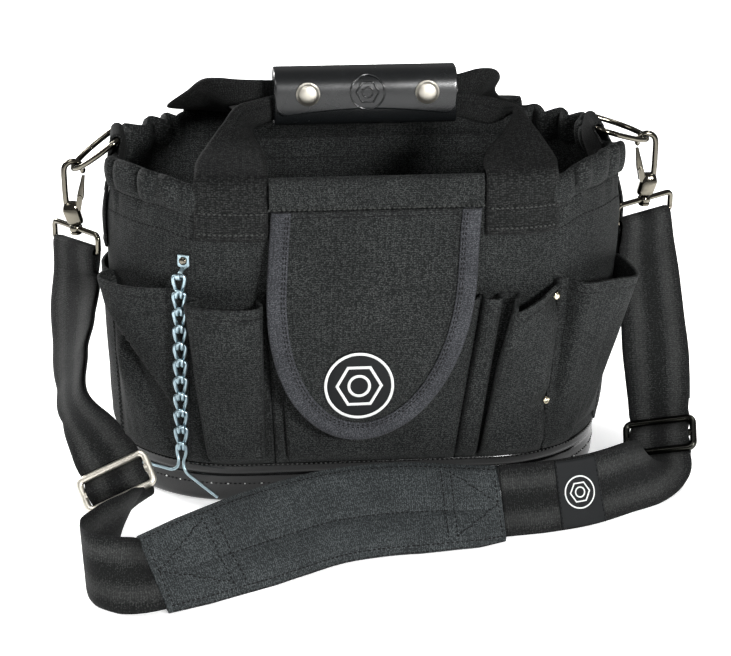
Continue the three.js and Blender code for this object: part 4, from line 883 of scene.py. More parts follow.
class TOOLBAG_OT_body(bpy.types.Operator):
    """Cloth wall with its gathered rim, and the rolled hems at the front and back"""

    bl_idname = "toolbag.body"
    bl_label = "Body"

    # Gathers round the ends of the rim; angles are degrees round an end, counted from the front
    GATHER = Sizes(
        first=22, last=160, fade=14, pitch=11.5, reach_down=26, edge_wave=2.8, tab_half=14,
        tab_fade=8, behind=95, deeper=1.7,
    )
    # How far the rim rises in front of each tab
    PUFF = Sizes(left=5, right=8.5)
    # Doubled band along the rim: swell outside, swell inside beside and along the ends, groove below it
    ROLL = Sizes(outer=3.6, inner=1.8, inner_ends=3.2, groove_gap=1.2, groove_width=1.4)
    SECOND_SEAM = 14
    # Section of the hem: share of its thickness, share of its height
    HEM_SECTION = [
        (0, 0), (0.55, 0.02), (0.85, 0.2), (1, 0.55), (0.9, 0.85), (0.55, 1), (0.15, 1), (0, 0.9), (0, 0),
    ]
    HEM_STEPS = 90

    def execute(self, context):
        sizes = context.scene.tool_bag_sizes
        band = sizes.rim_band / MM
        around = np.concatenate([
            np.linspace(-0.5, 0.5, 49)[:-1], np.linspace(0.5, 1.5, 131)[:-1],
            np.linspace(1.5, 2.5, 49)[:-1], np.linspace(2.5, 3.5, 131)[:-1],
        ])
        shares = np.concatenate([np.linspace(0, 0.84, 30)[:-1], np.linspace(0.84, 1, 28)])
        place = around[None, :]
        degrees = turn_degrees(place)
        side = np.where(signed_place(place) < 0, -1.0, 1.0)
        gather, roll = self.GATHER, self.ROLL
        puff = ease((degrees - gather.first) / 16) * ease((86 - degrees) / 26)
        rim = rim_height(place) + np.where(side < 0, self.PUFF.left, self.PUFF.right) * puff
        z = mix(BODY.bottom, rim, shares[:, None])
        below = rim - z
        fade = gather.fade
        ends = ease((degrees - gather.first) / fade) * ease((gather.last - degrees) / fade)
        tab = ease((np.abs(degrees - 90) - gather.tab_half) / gather.tab_fade)
        loose = bell(below, gather.reach_down) * ends * mix(0.25, 1, tab)
        phase = degrees / gather.pitch + 0.35 * side + 0.5 * unevenness(degrees * 2, side * 40, 30, 3)
        scallop = np.abs(np.sin(np.pi * phase)) ** 1.7 - 0.54
        deep = mix(1, gather.deeper, ease((degrees - gather.behind) / 12))
        offset = 0.6 * ruffle(place, z) + sizes.gather / MM * scallop * loose * deep
        z = z + gather.edge_wave * scallop * ends * tab * shares[:, None] ** 10
        soft = unevenness(around[None, :] * 225, z, 42, 21) * mix(0.4, 1, ends)
        rows = wall_point(np.broadcast_to(place, z.shape), z, offset + sizes.crumple / MM * 0.7 * soft)
        rolled = np.sqrt(np.clip(1 - ((below - band / 2) / (band / 2)) ** 2, 0, 1))
        groove = bell(below - band - roll.groove_gap, roll.groove_width)
        front = np.clip(ease((24 - degrees) / 10) + ease((degrees - 158) / 10), 0, 1)
        outer = BODY.wall / 2 + rolled * roll.outer * (1 - front) * mix(0.12, 1, tab) - 0.5 * groove
        inner = BODY.wall / 2 + rolled * mix(roll.inner, roll.inner_ends, ends * tab) - 0.3 * groove
        edge = mix(0.45, 1, ease(below / 1.6))
        wall, skin, out = cloth("body_cloth", rows, outer * edge, inner * edge, finish["cloth"], around=True)
        settle(wall, "bag", "fabric", "body_wall")

        # Two sewing lines round the ends, and the same two inside the back
        for gap in (band + roll.groove_gap, band + self.SECOND_SEAM):
            row = int(np.argmin(np.abs(below.mean(1) - gap)))
            for low, high in ((0.6, 1.42), (2.58, 3.4)):
                picked = np.where((around > low) & (around < high) & (np.abs(degrees[0] - 90) > 12))[0]
                for part in np.split(picked, np.where(np.diff(picked) > 1)[0] + 1):
                    sew("dark", skin[row, part], out[row, part], 0.1)
            back = (around > 1.4) & (around < 2.6)
            sew("dark", rows[row, back] - out[row, back] * 1.2, -out[row, back], 0.1)
        self.hem("front_hem", -1, BODY.rim_front + 5.5)
        self.hem("back_hem", 1, BODY.rim_back + 2)
        return {"FINISHED"}

    def hem(self, name, side, top):
        """A soft roll of cloth on the outside of the rim."""
        face = BODY.top_half_depth + BODY.wall / 2 + SEWN_GAP
        profile = smooth_line(self.HEM_SECTION, 41)[:-1]
        length = np.linspace(-HEM.half_length, HEM.half_length, self.HEM_STEPS)
        swell = 1 + 0.07 * unevenness(length, 5 * side, 30, 8)
        rings = []
        for x, grown in zip(length, swell):
            y = side * (face + profile[:, 0] * HEM.thick * grown)
            z = top - HEM.height + profile[:, 1] * HEM.height
            rings.append(np.stack([np.full(len(profile), x), y, z], axis=1))
        points, faces = stack(np.array(rings)[:, ::-side])
        uv = [np.stack([points[list(f), 0], points[list(f), 2] + points[list(f), 1]], 1) for f in faces]
        settle(make_object(name + "_roll", points, faces, finish["cloth"], uv), "bag", "fabric", name)
        line = np.stack(np.broadcast_arrays(length, side * (face + 3.6), top - HEM.height + 0.6), axis=1)
        sew("bead", line, np.tile([0, side * 0.8, -0.6], (self.HEM_STEPS, 1)))


class TOOLBAG_OT_pockets(bpy.types.Operator):
    """Ring of open pockets, each with its pleats, hemmed mouth and sewn sides"""

    bl_idname = "toolbag.pockets"
    bl_label = "Pockets"

    # Space beside each seam, as a share of the outline
    GAP = 0.0035
    # Sewn hem of the mouth: distance of its seam from the lower edge, added cloth, depth of the seam
    MOUTH = Sizes(seam=1.3, doubled=0.28, sunk=0.3)
    # Places across where a sewn pocket's lower folds are held
    HELD_FOLDS = (0.24, 0.76)
    LEVEL = ((0, 0), (0.5, -1), (1, 0))
    SAGGING = ((0, 0), (0.5, -2), (1, 0))
    # Diagonal fold of a pocket: place and height of its two ends, and the drop below it
    CREASE = {"pocket_corner_left": (0.75, 133, 0.1, 66, 15)}
    # Rivets that hold a pocket down: place across, height
    PINNED = {
        name: ((place, RIVET.top_z), (place, RIVET.low_z))
        for name, place in (("pocket_front_right", 1), ("pocket_corner_right", 0))
    }
    # Pockets that open steadily upwards: power of the rise
    SPREAD = {"pocket_corner_left": 1.25, "pocket_corner_right": 0.85}
    # Lower edge that hangs free of the base: place across, height above the base
    FREE_EDGE = {"pocket_corner_right": ((0, 0), (0.2, 0), (0.45, 9), (0.8, 11), (1, 3))}

    def execute(self, context):
        self.sizes = context.scene.tool_bag_sizes
        pair = lambda *x: np.array([front_place(x[0], POCKET.mouth), front_place(x[1], POCKET.bottom)])
        end = lambda side, top, low: np.array([side * (0.5 + top / 180), side * (0.5 + low / 180)])
        center_left, center_right = pair(-74, -64), pair(72, 60)
        chain, rivet = (pair(part.seam_top_x, part.seam_low_x) for part in (CHAIN, RIVET))
        left_end, right_end = end(-1, 73, 70), end(1, 73, 70)
        left_back, right_back = end(-1, 107, 110), end(1, 107, 110)
        back_right, back_left = np.array([1.576, 1.62]), np.array([2.424, 2.38])
        # Name, first seam, last seam, depth of the bulge, folds, and how far the mouth rises along its width
        table = [
            ("pocket_front_center", center_left, center_right, 6.5, WIDE_PLEATED,
             ((0, 0), (0.5, -1), (0.84, -2), (0.93, -8), (0.97, -1), (1, 0))),
            ("pocket_front_left", chain, center_left, 17, PLEATED, ((0, 2), (0.5, -1), (0.8, 0), (1, 4))),
            ("pocket_front_right", center_right, rivet, 16, RIGHT_PLEATED,
             ((0, 0), (0.25, 0), (0.28, -3), (0.32, -9), (0.4, -8), (0.7, -1), (1, 7))),
            ("pocket_corner_left", chain, left_end, 18, CORNER, ((0, 6), (0.5, 4.5), (0.8, 5.5), (1, 0))),
            ("pocket_corner_right", rivet, right_end, 25, FLARED,
             ((0, 7), (0.4, 4), (0.6, 2), (0.8, 3), (1, 4))),
            ("pocket_end_left", left_end, left_back, 3, PLAIN, self.LEVEL),
            ("pocket_end_right", right_end, right_back, 3, PLAIN, self.LEVEL),
            ("pocket_back_right", right_back, back_right, 13, PLAIN, self.SAGGING),
            ("pocket_back_center", back_right, back_left, 10, WIDE_PLEATED, self.LEVEL),
            ("pocket_back_left", back_left, left_back + 4, 13, PLAIN, self.SAGGING),
        ]
        for number, (name, first, last, bulge, folds, mouth) in enumerate(table):
            step = self.GAP if last[0] > first[0] else -self.GAP
            self.pocket(name, first + step, last - step, bulge, folds, mouth, 40 + number)
        return {"FINISHED"}

    def pocket(self, name, first, last, bulge, folds, mouth, seed):
        ends = wall_point(np.linspace(first[0], last[0], 40), np.full(40, POCKET.mouth * 1.0))
        width = np.linalg.norm(np.diff(ends, axis=0), axis=1).sum()
        scaled = np.array([(opened * width, rise * bulge, flat * width) for flat, opened, rise in folds])
        columns = max(40, int(width / 1.3))
        lines = smooth_line(scaled, columns)
        opened, rise, flat = lines[:, 0] / width, lines[:, 1] / bulge, lines[:, 2] / width
        shares = np.concatenate([np.linspace(0, 0.9, 36)[:-1], np.linspace(0.9, 1, 14)])[:, None]
        top = POCKET.mouth + looked_up(mouth, flat)
        z = mix(POCKET.bottom + looked_up(self.FREE_EDGE.get(name, ((0, 0), (1, 0))), flat), top, shares)
        middle = np.sin(np.pi * np.clip(flat, 0, 1))
        opening = np.sqrt(shares) * (0.55 + 0.45 * shares)
        seams = [mix(seam[1], seam[0], shares) for seam in (first, last)]
        place = mix(*seams, mix(flat, opened, opening))
        fade = np.clip(middle * 2.2, 0, 1) * ease(shares * 6)
        depth = self.sizes.crumple / MM
        soft = depth * unevenness(flat * width, z, 34, seed) * fade
        crease = 0.0
        if name in self.CREASE:
            flat_from, z_from, flat_to, z_to, drop = self.CREASE[name]
            line = z_from + (z_to - z_from) * (flat - flat_from) / (flat_to - flat_from)
            crease = -drop * ease((line - z) / 5) * ease((48 - line + z) / 48) * fade
        pucker = 0.5 * depth * np.sin(flat * width * 0.55 + seed) * ease((0.3 - shares) / 0.3) * fade
        relief = (0.6 + 0.4 * opening) * ease(shares / 0.07)
        if name in self.SPREAD:
            relief = shares ** self.SPREAD[name]
        for where, high in self.PINNED.get(name, ()):
            relief = relief * ease(np.hypot((flat - where) * width, z - high) / 15)
        rows = wall_point(place, z, POCKET.seam_offset + bulge * relief * rise + soft + pucker + crease)
        below = top - z
        if last[0] < first[0]:
            rows, below = rows[:, ::-1], below[:, ::-1]
        band = self.sizes.mouth_band / MM
        seam = below - band + self.MOUTH.seam
        doubled = ease((band - below) / 1.2)
        thick = POCKET.cloth / 2 + self.MOUTH.doubled * doubled - self.MOUTH.sunk * bell(seam, 0.8)
        obj, skin, out = cloth(name + "_cloth", rows, thick, thick, finish["cloth"])
        settle(obj, "bag", "fabric", name)
        row = int(np.argmin(np.abs(seam.mean(1))))
        sew("dark", skin[row], out[row], 0.05)
        for column in (1, -2):
            sew("dark", skin[2:, column], out[2:, column], 0.1)
        if folds is WIDE_PLEATED or folds is PLEATED:
            for fold in self.HELD_FOLDS:
                column = int(np.argmin(np.abs(flat - fold)))
                sew("dark", skin[2:12, column], out[2:12, column], 0.05)


def flap_half_width(z):
    drop = np.clip((FLAP.straight_end - z) / (FLAP.straight_end - FLAP.bottom), 0, 1)
    return FLAP.half_width * np.sqrt(np.clip(1 - drop ** FLAP.roundness, 0, 1))


def flap_point(x, z, lift):
    """Points on the flap, lifted off its middle, and the directions out of it."""
    x, z, lift = np.broadcast_arrays(np.asarray(x, float), np.asarray(z, float), np.asarray(lift, float))
    slope = looked_up(FLAP_STAND, z + 2) - looked_up(FLAP_STAND, z - 2)
    out = unit(np.stack([np.zeros_like(z), np.full_like(z, -4.0), -slope], axis=-1))
    sag = 0.8 * unevenness(x, z, 48, 61) * ease((205 - z) / 40)
    middle = np.stack([x - FLAP.skew * (FLAP.top - z), -looked_up(FLAP_STAND, z) - sag, z], axis=-1)
    return middle + out * lift[..., None], out


def nut_motif(place, radius, thick):
    """A plain badge: a round border and the outline of a hexagon nut round its hole."""
    turns = circle(96)
    hexagon = 1 / np.cos((turns % (np.pi / 3)) - np.pi / 6)
    shells = []
    # Each outline: share of the radius inside and outside, shape
    for low, high, shape in ((0.9, 0.98, 1), (0.5, 0.58, hexagon), (0.25, 0.33, 1)):
        rings = []
        for share, lift in ((low, 0), (high, 0), (high, thick), (low, thick)):
            reach = radius * share * shape
            rings.append(place(reach * np.cos(turns), reach * np.sin(turns), lift))
        shells.append(closed_band(rings))
    return gathered(shells)


class TOOLBAG_OT_flap(bpy.types.Operator):
    """Front flap with its taped edge and round badge"""

    bl_idname = "toolbag.flap"
    bl_label = "Flap"

    # Points across the flap, and the height of the seam along its top
    COLUMNS, TOP_SEAM = 61, 208.5
    # Section of the patch: share of its radius, share of its thickness
    PATCH_SECTION = [(0.3, 0), (0.99, 0), (1, 0.3), (0.985, 0.8), (0.6, 0.8), (0.3, 0.8)]
    # Distance of the tape's two seams from its inner edge
    TAPE_SEAMS = (1.6, 3.4)

    def execute(self, context):
        depth = FLAP.straight_end - FLAP.bottom
        curved = FLAP.straight_end - depth * np.sin(np.linspace(0, np.pi / 2, 44))[1:-1] ** 0.8
        heights = np.concatenate([np.linspace(FLAP.top, FLAP.straight_end, 26), curved])
        heights = np.append(heights, FLAP.straight_end - depth * 0.997)
        shares = np.linspace(-1, 1, self.COLUMNS)
        z = np.broadcast_to(heights[:, None], (len(heights), self.COLUMNS))
        rows, _out = flap_point(shares[None, :] * flap_half_width(z), z, 0)
        half = FLAP.cloth / 2
        panel, _skin, _normal = cloth("flap_cloth", rows[::-1], half, half, finish["cloth"])
        settle(panel, "bag", "fabric", "flap")

        # Tape folded over the edge: reach in from the edge, lift from the flap's middle
        lift = half + BINDING.gap + BINDING.cloth / 2
        fold = [
            (BINDING.width, lift), (6, lift + 0.25), (1.2, lift), (-1.1, lift * 0.45),
            (-1.1, -lift * 0.45), (1.2, -lift), (BINDING.width, -lift),
        ]
        profile = smooth_line(fold, 22)
        fine = np.concatenate([heights[:-1], [FLAP.bottom + 0.02]])
        left = np.stack([-flap_half_width(fine), fine], 1)
        edge = evenly(np.concatenate([left, [[0, FLAP.bottom]], (left * [-1, 1])[::-1]]), 220)
        along = unit(np.gradient(edge, axis=0))
        inward = np.stack([-along[:, 1], along[:, 0]], axis=1)
        spots = edge[:, None] + inward[:, None] * profile[None, :, :1]
        tape, _out = flap_point(spots[..., 0], spots[..., 1], profile[:, 1])
        thin = BINDING.cloth / 2
        tape, _skin, _normal = cloth("flap_tape", tape, thin, thin, finish["binding"])
        settle(tape, "bag", "binding", "flap_binding")
        for gap in self.TAPE_SEAMS:
            spots = edge[2:-2] + inward[2:-2] * (BINDING.width - gap)
            line, out = flap_point(spots[:, 0], spots[:, 1], lift + thin + 0.15)
            sew("dark", line, out)
        top = np.linspace(-FLAP.half_width, FLAP.half_width, 60)
        line, out = flap_point(top, self.TOP_SEAM, half + 0.1)
        sew("dark", line[6:-6], out[6:-6])

        base = half + SEWN_GAP + 0.35
        place = lambda x, y, up: flap_point(
            PATCH.x + x + FLAP.skew * (FLAP.top - PATCH.z - y), PATCH.z + y, base + up)[0]
        rings = [place(*ring(72, reach * PATCH.radius, up * PATCH.thick).T)
                 for reach, up in self.PATCH_SECTION]
        bag_piece("flap_badge", stack(rings), "label", "patch", "flap_patch")
        raised = lambda x, y, up: place(x, y, up + PATCH.thick * 0.8 + 0.04)
        bag_piece("flap_badge_print", nut_motif(raised, PATCH.radius, 0.14), "ink", "patch")
        return {"FINISHED"}


def wrap_point(x, turns):
    """Point of the leather's middle; turns counts once round both grips from the front."""
    angle = 2 * np.pi * turns
    grown = WRAP.layer * turns
    c, s = np.cos(angle), np.sin(angle)
    power = 2 / WRAP.squareness
    y = -(WRAP.half_deep + grown) * np.sign(c) * np.abs(c) ** power
    z = WRAP.center_z - (WRAP.half_tall + grown) * np.sign(s) * np.abs(s) ** power
    return np.stack(np.broadcast_arrays(x, y, z), axis=-1)


def wrap_face(x, z, lift):
    """Points in front of the leather's outer layer at the given height."""
    x, z = np.broadcast_arrays(np.asarray(x, float), np.asarray(z, float))
    deep = WRAP.half_deep + WRAP.layer + WRAP.leather / 2
    tall = WRAP.half_tall + WRAP.layer + WRAP.leather / 2
    share = np.clip(np.abs(z - WRAP.center_z) / tall, 0, 1) ** WRAP.squareness
    return np.stack([x, -deep * (1 - share) ** (1 / WRAP.squareness) - lift, z], axis=-1)


class TOOLBAG_OT_handles(bpy.types.Operator):
    """Two webbing handles held together by a leather wrap with snap caps"""

    bl_idname = "toolbag.handles"
    bl_label = "Handles"

    # Points along a handle, and across its webbing
    ROWS, COLUMNS = 190, 25
    MIDDLE = COLUMNS // 2
    # Cap section: share of the radius, share of the height
    CAP = [(0.01, 0), (0.8, 0), (0.97, 0.04), (1, 0.14), (0.95, 0.24), (0.88, 0.3), (0.84, 0.42), (0.72, 0.7),
           (0.5, 0.9), (0.25, 0.985), (0.01, 1)]

    def execute(self, context):
        self.handle("front", -1)
        self.handle("back", 1)
        self.wrap()
        self.caps()
        return {"FINISHED"}

    def half(self, side, leg):
        """Rows of points from the sewn foot to the middle of the grip, and the thickness of each row."""
        lift = BODY.wall / 2 + SEWN_GAP + HANDLE.web / 2
        across = np.linspace(0, 1, self.COLUMNS)[:, None]
        rim = (BODY.rim_front if side < 0 else BODY.rim_back) - 0.4
        rows = []
        x = mix(leg[0][0], leg[0][3], across[:, 0])
        for z in (HANDLE.leg_bottom, 206, 219, rim):
            points = wall_point(front_place(x, z), z, np.full(self.COLUMNS, lift))
            rows.append(points * [1, -side, 1])
        rows += [mix(np.array(row[:3]), np.array(row[3:]), across) for row in leg]
        place = np.arange(len(rows))
        return np.array(rows), mix(HANDLE.web, HANDLE.grip, ease((place - len(rows) + 7) / 3))

    def handle(self, label, side):
        name = label + "_handle"
        right, left = (self.half(side, LEGS[label, hand]) for hand in ("right", "left"))
        control = np.concatenate([right[0], left[0][-2::-1]])
        deep = np.concatenate([right[1], left[1][-2::-1]])
        packed = np.concatenate([control.reshape(len(control), -1), deep[:, None]], axis=1)
        line = smooth_line(packed, self.ROWS)
        rows = line[:, :-1].reshape(self.ROWS, self.COLUMNS, 3)
        share = np.linspace(-1, 1, self.COLUMNS)
        rounded = np.sqrt(np.clip(1 - 0.85 * np.abs(share) ** 6, 0, 1))
        thick = line[:, -1:] / 2 * rounded[None, :]
        height = rows[:, self.MIDDLE, 2] - HANDLE.leg_bottom
        # The foot is doubled, with a roll along its end and a sewn groove above it
        swell = 0.45 * ease((HANDLE.foot - height) / 1.2) + 1.1 * bell(height - 2.5, 3)
        swell = swell - 0.5 * bell(height - HANDLE.foot - 0.2, 1.1)
        thick = thick + swell[:, None] * rounded[None, :]
        soft = 0.5 * unevenness(np.arange(self.ROWS)[:, None] * 2.2, share[None, :] * 25, 26, 77 + side)
        rows = rows + soft[..., None] * np.array([0, side * 0.5, 0.5]) * (np.abs(rows[..., :1]) > 66)
        obj, _skin, out = cloth(name + "_web", rows, thick, thick, finish["webbing"])
        settle(obj, "bag", "webbing", name)
        outward = np.sign((out[2:20] * [0, side, 0]).sum()) or 1.0
        face = rows + out * outward * thick[..., None]
        for gap in (5.5, HANDLE.foot - 1.2):
            for first, last in ((0, 60), (-60, None)):
                part = slice(first, last)
                row = int(np.argmin(np.abs(face[part, self.MIDDLE, 2] - HANDLE.leg_bottom - gap)))
                sew("bead", face[part][row, 2:-2], out[part][row, 2:-2] * outward, 0.1)
        # One seam along each folded leg, between the rim and the wrap
        middle = rows[:, self.MIDDLE]
        free = np.where((np.abs(middle[:, 0]) > 62) & (middle[:, 2] > 250))[0]
        for group in (free[free < self.ROWS // 2], free[free >= self.ROWS // 2]):
            if len(group) > 3:
                sew("dark", face[group, 8], out[group, 8] * outward, 0.1)

    def wrap(self):
        stations = np.concatenate([
            np.linspace(-1, -0.84, 12)[:-1], np.linspace(-0.84, 0.84, 34)[:-1], np.linspace(0.84, 1, 12)])
        rows = []
        for share in stations:
            x = share * WRAP.half_length
            over = max(0.0, abs(x) - WRAP.half_length + WRAP.corner) / WRAP.corner
            rounded = WRAP.corner / WRAP.turn_length * (1 - math.sqrt(max(0.0, 1 - over * over)))
            finish_turn = WRAP.finish - WRAP.arch * (1 - share * share) - rounded
            first = np.linspace(WRAP.start, 0.9, 110)[:-1]
            turns = np.concatenate([first, np.linspace(0.9, finish_turn, 40)])
            rows.append(wrap_point(np.full(len(turns), x), turns))
        rows = np.array(rows)
        half = np.full(rows.shape[:2], WRAP.leather / 2)
        half[:, [0, -1]] *= 0.55
        half[[0, -1], :] *= 0.7
        obj, _skin, _out = cloth("handle_wrap_leather", rows, half, half, finish["leather"])
        settle(obj, "bag", "leather", "handle_wrap")

        badge = lambda x, y, up: wrap_face(1 + x, SNAP_CAP.z + 0.5 + y, up - 0.05)
        bag_piece("handle_wrap_stamp", nut_motif(badge, 12.5, 0.8), "leather", "leather")

    def caps(self):
        template = domed("cap_shape", self.CAP, 40, 36, SNAP_CAP.radius, SNAP_CAP.tall, "satin_nickel")
        face = wrap_point(0.0, np.array(0.985))[1] - WRAP.leather / 2 - 0.35
        for name, x in (("left", SNAP_CAP.left_x), ("right", SNAP_CAP.right_x)):
            spots = [((x, face, SNAP_CAP.z), (1, 0, 0), (0, -1, 0))]
            made = set_pieces(f"wrap_cap_{name}", spots, template, finish["satin_nickel"])
            settle(made, "bag", "nickel", f"wrap_snap_{name}")
        bpy.data.objects.remove(template)


def bow_point(end, y):
    """Middle of the D-ring's bow at one place across."""
    rim = wall_point(end.side, rim_height(end.side))[0]
    y = np.asarray(y, float)
    turn = np.arcsin(np.clip(np.abs(y) / RING.bar_half, 0, 1))
    out = np.where(np.abs(y) >= RING.bar_half - 1e-9, 0.1, 0.16 + 0.84 * np.cos(turn) ** 0.8)
    return np.stack([mix(rim, end.tip_x, out), y, mix(end.bar_z, end.tip_z, out)], axis=-1)


def snap_foot(end):
    return bow_point(end, end.hang_y) - np.array([0, 0, SNAP.seat])


class TOOLBAG_OT_ring_ends(bpy.types.Operator):
    """Webbing loops at the ends of the rim, each round a D-ring"""

    bl_idname = "toolbag.ring_ends"
    bl_label = "Ring ends"

    # Points along a tab, and across it
    ROWS, COLUMNS = 90, 19
    # Heights of the sewn lines above the tab's lower end
    SEAMS = (3, 40, 44)

    def execute(self, context):
        for label, end in END.items():
            self.tab(label, end)
            self.ring(label, end)
        return {"FINISHED"}

    def tab(self, label, end):
        side = end.side
        radius = RING.wire + 0.5 + TAB.web / 2
        rim = wall_point(side, rim_height(side))[0]
        y = np.linspace(-TAB.half_width, TAB.half_width, self.COLUMNS)
        clear = BODY.wall / 2 + SEWN_GAP + TAB.web / 2

        def wall_x(z):
            degrees = np.degrees(np.arccos(-y / body_size(z)[1]))
            return wall_point(side * (0.5 + degrees / 180), np.full(self.COLUMNS, float(z)))[:, 0]

        # Up the outside, round the ring's bar and down the inside
        spots = []
        for z in (TAB.bottom, 188, 204, 218, TAB.top):
            spots.append((wall_x(z) + side * (clear + 0.8 * ease((z - 170) / 30)), z))
        for turn in np.linspace(0, np.pi, 7):
            spots.append((rim + side * math.cos(turn) * radius, end.bar_z + math.sin(turn) * radius))
        for z in (TAB.top, TAB.inside_bottom):
            spots.append((wall_x(z) - side * (clear + 0.8), z))
        rows = np.array([np.stack(np.broadcast_arrays(x, y, z), axis=1) for x, z in spots])
        line = smooth_line(rows.reshape(len(rows), -1), self.ROWS).reshape(self.ROWS, self.COLUMNS, 3)
        half = np.full((self.ROWS, self.COLUMNS), TAB.web / 2)
        half[:, [0, -1]] *= 0.5
        obj, _skin, out = cloth(f"ring_tab_{label}_web", line, half, half, finish["webbing"])
        settle(obj, "bag", "webbing", f"ring_tab_{label}")
        middle = self.COLUMNS // 2
        out = out[:, 2:-2] * np.sign(out[10, middle, 0] * side)
        for gap in self.SEAMS:
            row = int(np.argmin(np.abs(line[:60, middle, 2] - TAB.bottom - gap)))
            sew("dark", line[row, 2:-2] + out[row] * TAB.web / 2, out[row], 0.1)

    def ring(self, label, end):
        turns = np.linspace(-90, 90, 61)
        bow = bow_point(end, RING.bar_half * np.sin(np.radians(turns)))
        rim = wall_point(end.side, rim_height(end.side))[0]
        reach = RING.bar_half - 2
        bar = np.stack([np.full(16, rim), np.linspace(reach, -reach, 16), np.full(16, end.bar_z)], axis=1)
        line = smooth_line(np.concatenate([bow[1:-1:3], bow[-1:], bar[::5], bow[:1]]), 140, closed=True)
        bag_piece(f"d_ring_{label}_wire", tube(line, RING.wire, 16, closed=True), "nickel", "nickel",
                  f"d_ring_{label}")


class TOOLBAG_OT_snap_hooks(bpy.types.Operator):
    """Swivel snap hooks with sprung gates and strap eyes"""

    bl_idname = "toolbag.snap_hooks"
    bl_label = "Snap hooks"

    # Block section from the swivel up: height, half length, half depth
    BLOCK = [(0, 3.0, 3.0), (0.5, 3.9, 3.7), (2, 5.6, 4.6), (6, 6.1, 4.8), (10, 6.2, 4.8), (13, 5.6, 4.4),
             (15.6, 4.6, 3.5), (16.5, 3.4, 2.6)]
    # Post below the block: radius, height
    POST = [(2.1, 1), (2.1, -5.2), (3.6, -5.3), (4, -5.7), (4, -6.6), (3.4, -7.2)]
    # Swivel boss of the strap eye: radius, height
    BOSS = [(EYE.hole, -4.4), (EYE.boss - 0.5, -4.7), (EYE.boss, -4.2), (EYE.boss, -1),
            (EYE.boss - 0.5, -0.5), (EYE.hole, -0.8)]
    # Lugs on the block that carry the gate's hinge
    HINGE = Sizes(x=-3.6, z=19.2, radius=2.1, inner=2.6, outer=3.7, pin=1.1)
    # Gate section: height, half width, half depth
    GATE = [(17.2, 1.6, 1.9), (18.6, 2.3, 2.1), (21, 2.5, 2.2), (24, 2.3, 2.1), (27, 2, 2), (31, 1.5, 1.7),
            (33, 1.35, 1.5), (35.2, 1.2, 1.3)]

    def execute(self, context):
        for label, end in END.items():
            self.hook(label, end.side, snap_foot(end))
        return {"FINISHED"}

    def hook(self, label, side, foot):
        place = lambda x, y, z: foot + np.stack(np.broadcast_arrays(side * x, y, z), axis=-1)
        turns = np.radians(np.linspace(0, 200, 21))
        bow = place(SNAP.bow * np.cos(turns), 0, SNAP.bow_z + SNAP.bow * np.sin(turns))
        stem = np.array([place(5.4, 0, 9.0), place(6.3, 0, 22.0), place(SNAP.bow, 0, 31.0)])
        line = smooth_line(np.concatenate([stem, bow[::2]]), 90)
        radius = np.full(90, SNAP.wire)
        radius[-5:] = SNAP.wire * np.sqrt(1 - np.linspace(0.1, 0.93, 5) ** 2)
        c, s = np.cos(circle(32)), np.sin(circle(32))
        squared = lambda v, power: np.sign(v) * np.abs(v) ** power
        block = [place(long * squared(c, 0.6) + 2.6 * ease(z / 12), deep * squared(s, 0.6), z)
                 for z, long, deep in smooth_line(self.BLOCK, 26)]
        post = [place(r * c, r * s, z) for r, z in self.POST]
        shell = gathered([tube(line, radius, 16), stack(block), stack(post), *self.lugs(place)])
        bag_piece(f"snap_body_{label}_cast", shell, "nickel", "nickel", f"snap_body_{label}", sharp=40)

        gate = []
        for z, wide, deep in smooth_line(self.GATE, 20):
            lean = mix(self.HINGE.x, 0.2 - SNAP.bow, (z - self.GATE[0][0]) / 15.8)
            gate.append(place(lean + wide * squared(c, 0.5), deep * squared(s, 0.5), z))
        lever = make_object(f"snap_gate_{label}_lever", *stack(gate), finish["nickel"], sharp=50)
        settle(lever, f"{label}_gate", "nickel", f"snap_gate_{label}")
        self.eye(label, foot)

    def lugs(self, place):
        """Two plates with a pin head each, one on either side of the gate."""
        hinge = self.HINGE
        over = np.radians(np.linspace(0, 180, 13))
        x = np.append(hinge.x + hinge.radius * np.cos(over), [-4.2, -0.8])
        z = np.append(hinge.z + hinge.radius * np.sin(over), [11.0, 10.5])
        head_x = hinge.x + hinge.pin * np.cos(circle(16))
        head_z = hinge.z + hinge.pin * np.sin(circle(16))
        shells = []
        for side in (-1, 1):
            inner, outer = side * hinge.inner, side * hinge.outer
            shells.append(stack([place(x, y, z) for y in (inner, outer)]))
            shells.append(stack([place(head_x, y, head_z) for y in (outer - side * 0.2, outer + side * 0.5)]))
        return shells

    def eye(self, label, foot):
        across = unit(np.array(ACROSS[label], float))
        outline = rounded_frame(EYE.half_width, EYE.top, -SNAP.bar_drop, EYE.corner, 9)
        outline = [(EYE.gap, EYE.top), *outline, (-EYE.gap, EYE.top)]
        line = np.array([foot + across * u + [0, 0, z] for u, z in outline])
        boss = [foot + ring(32, radius, z) for radius, z in self.BOSS]
        shell = gathered([tube(evenly(line, 150), EYE.wire, 14), closed_band(boss)])
        bag_piece(f"snap_eye_{label}_wire", shell, "nickel", "nickel", f"snap_eye_{label}", sharp=50)


def walk(run, count):
    """Places along a run: middle, along, across, facing and the distance from its start."""
    run = np.asarray(run, float)
    t = np.linspace(0, 1, count)
    middle = curve_at(run[:, :3], t)
    ahead = curve_at(run[:, :3], np.minimum(1, t + 0.01)) - curve_at(run[:, :3], np.maximum(0, t - 0.01))
    along = unit(ahead)
    across = curve_at(run[:, 3:], t)
    across = unit(across - along * np.einsum("ij,ij->i", across, along)[:, None])
    steps = np.linalg.norm(np.diff(middle, axis=0), axis=1)
    distance = np.concatenate([[0], np.cumsum(steps)])
    return {"t": t, "middle": middle, "along": along, "across": across,
            "facing": unit(np.cross(along, across)), "distance": distance}


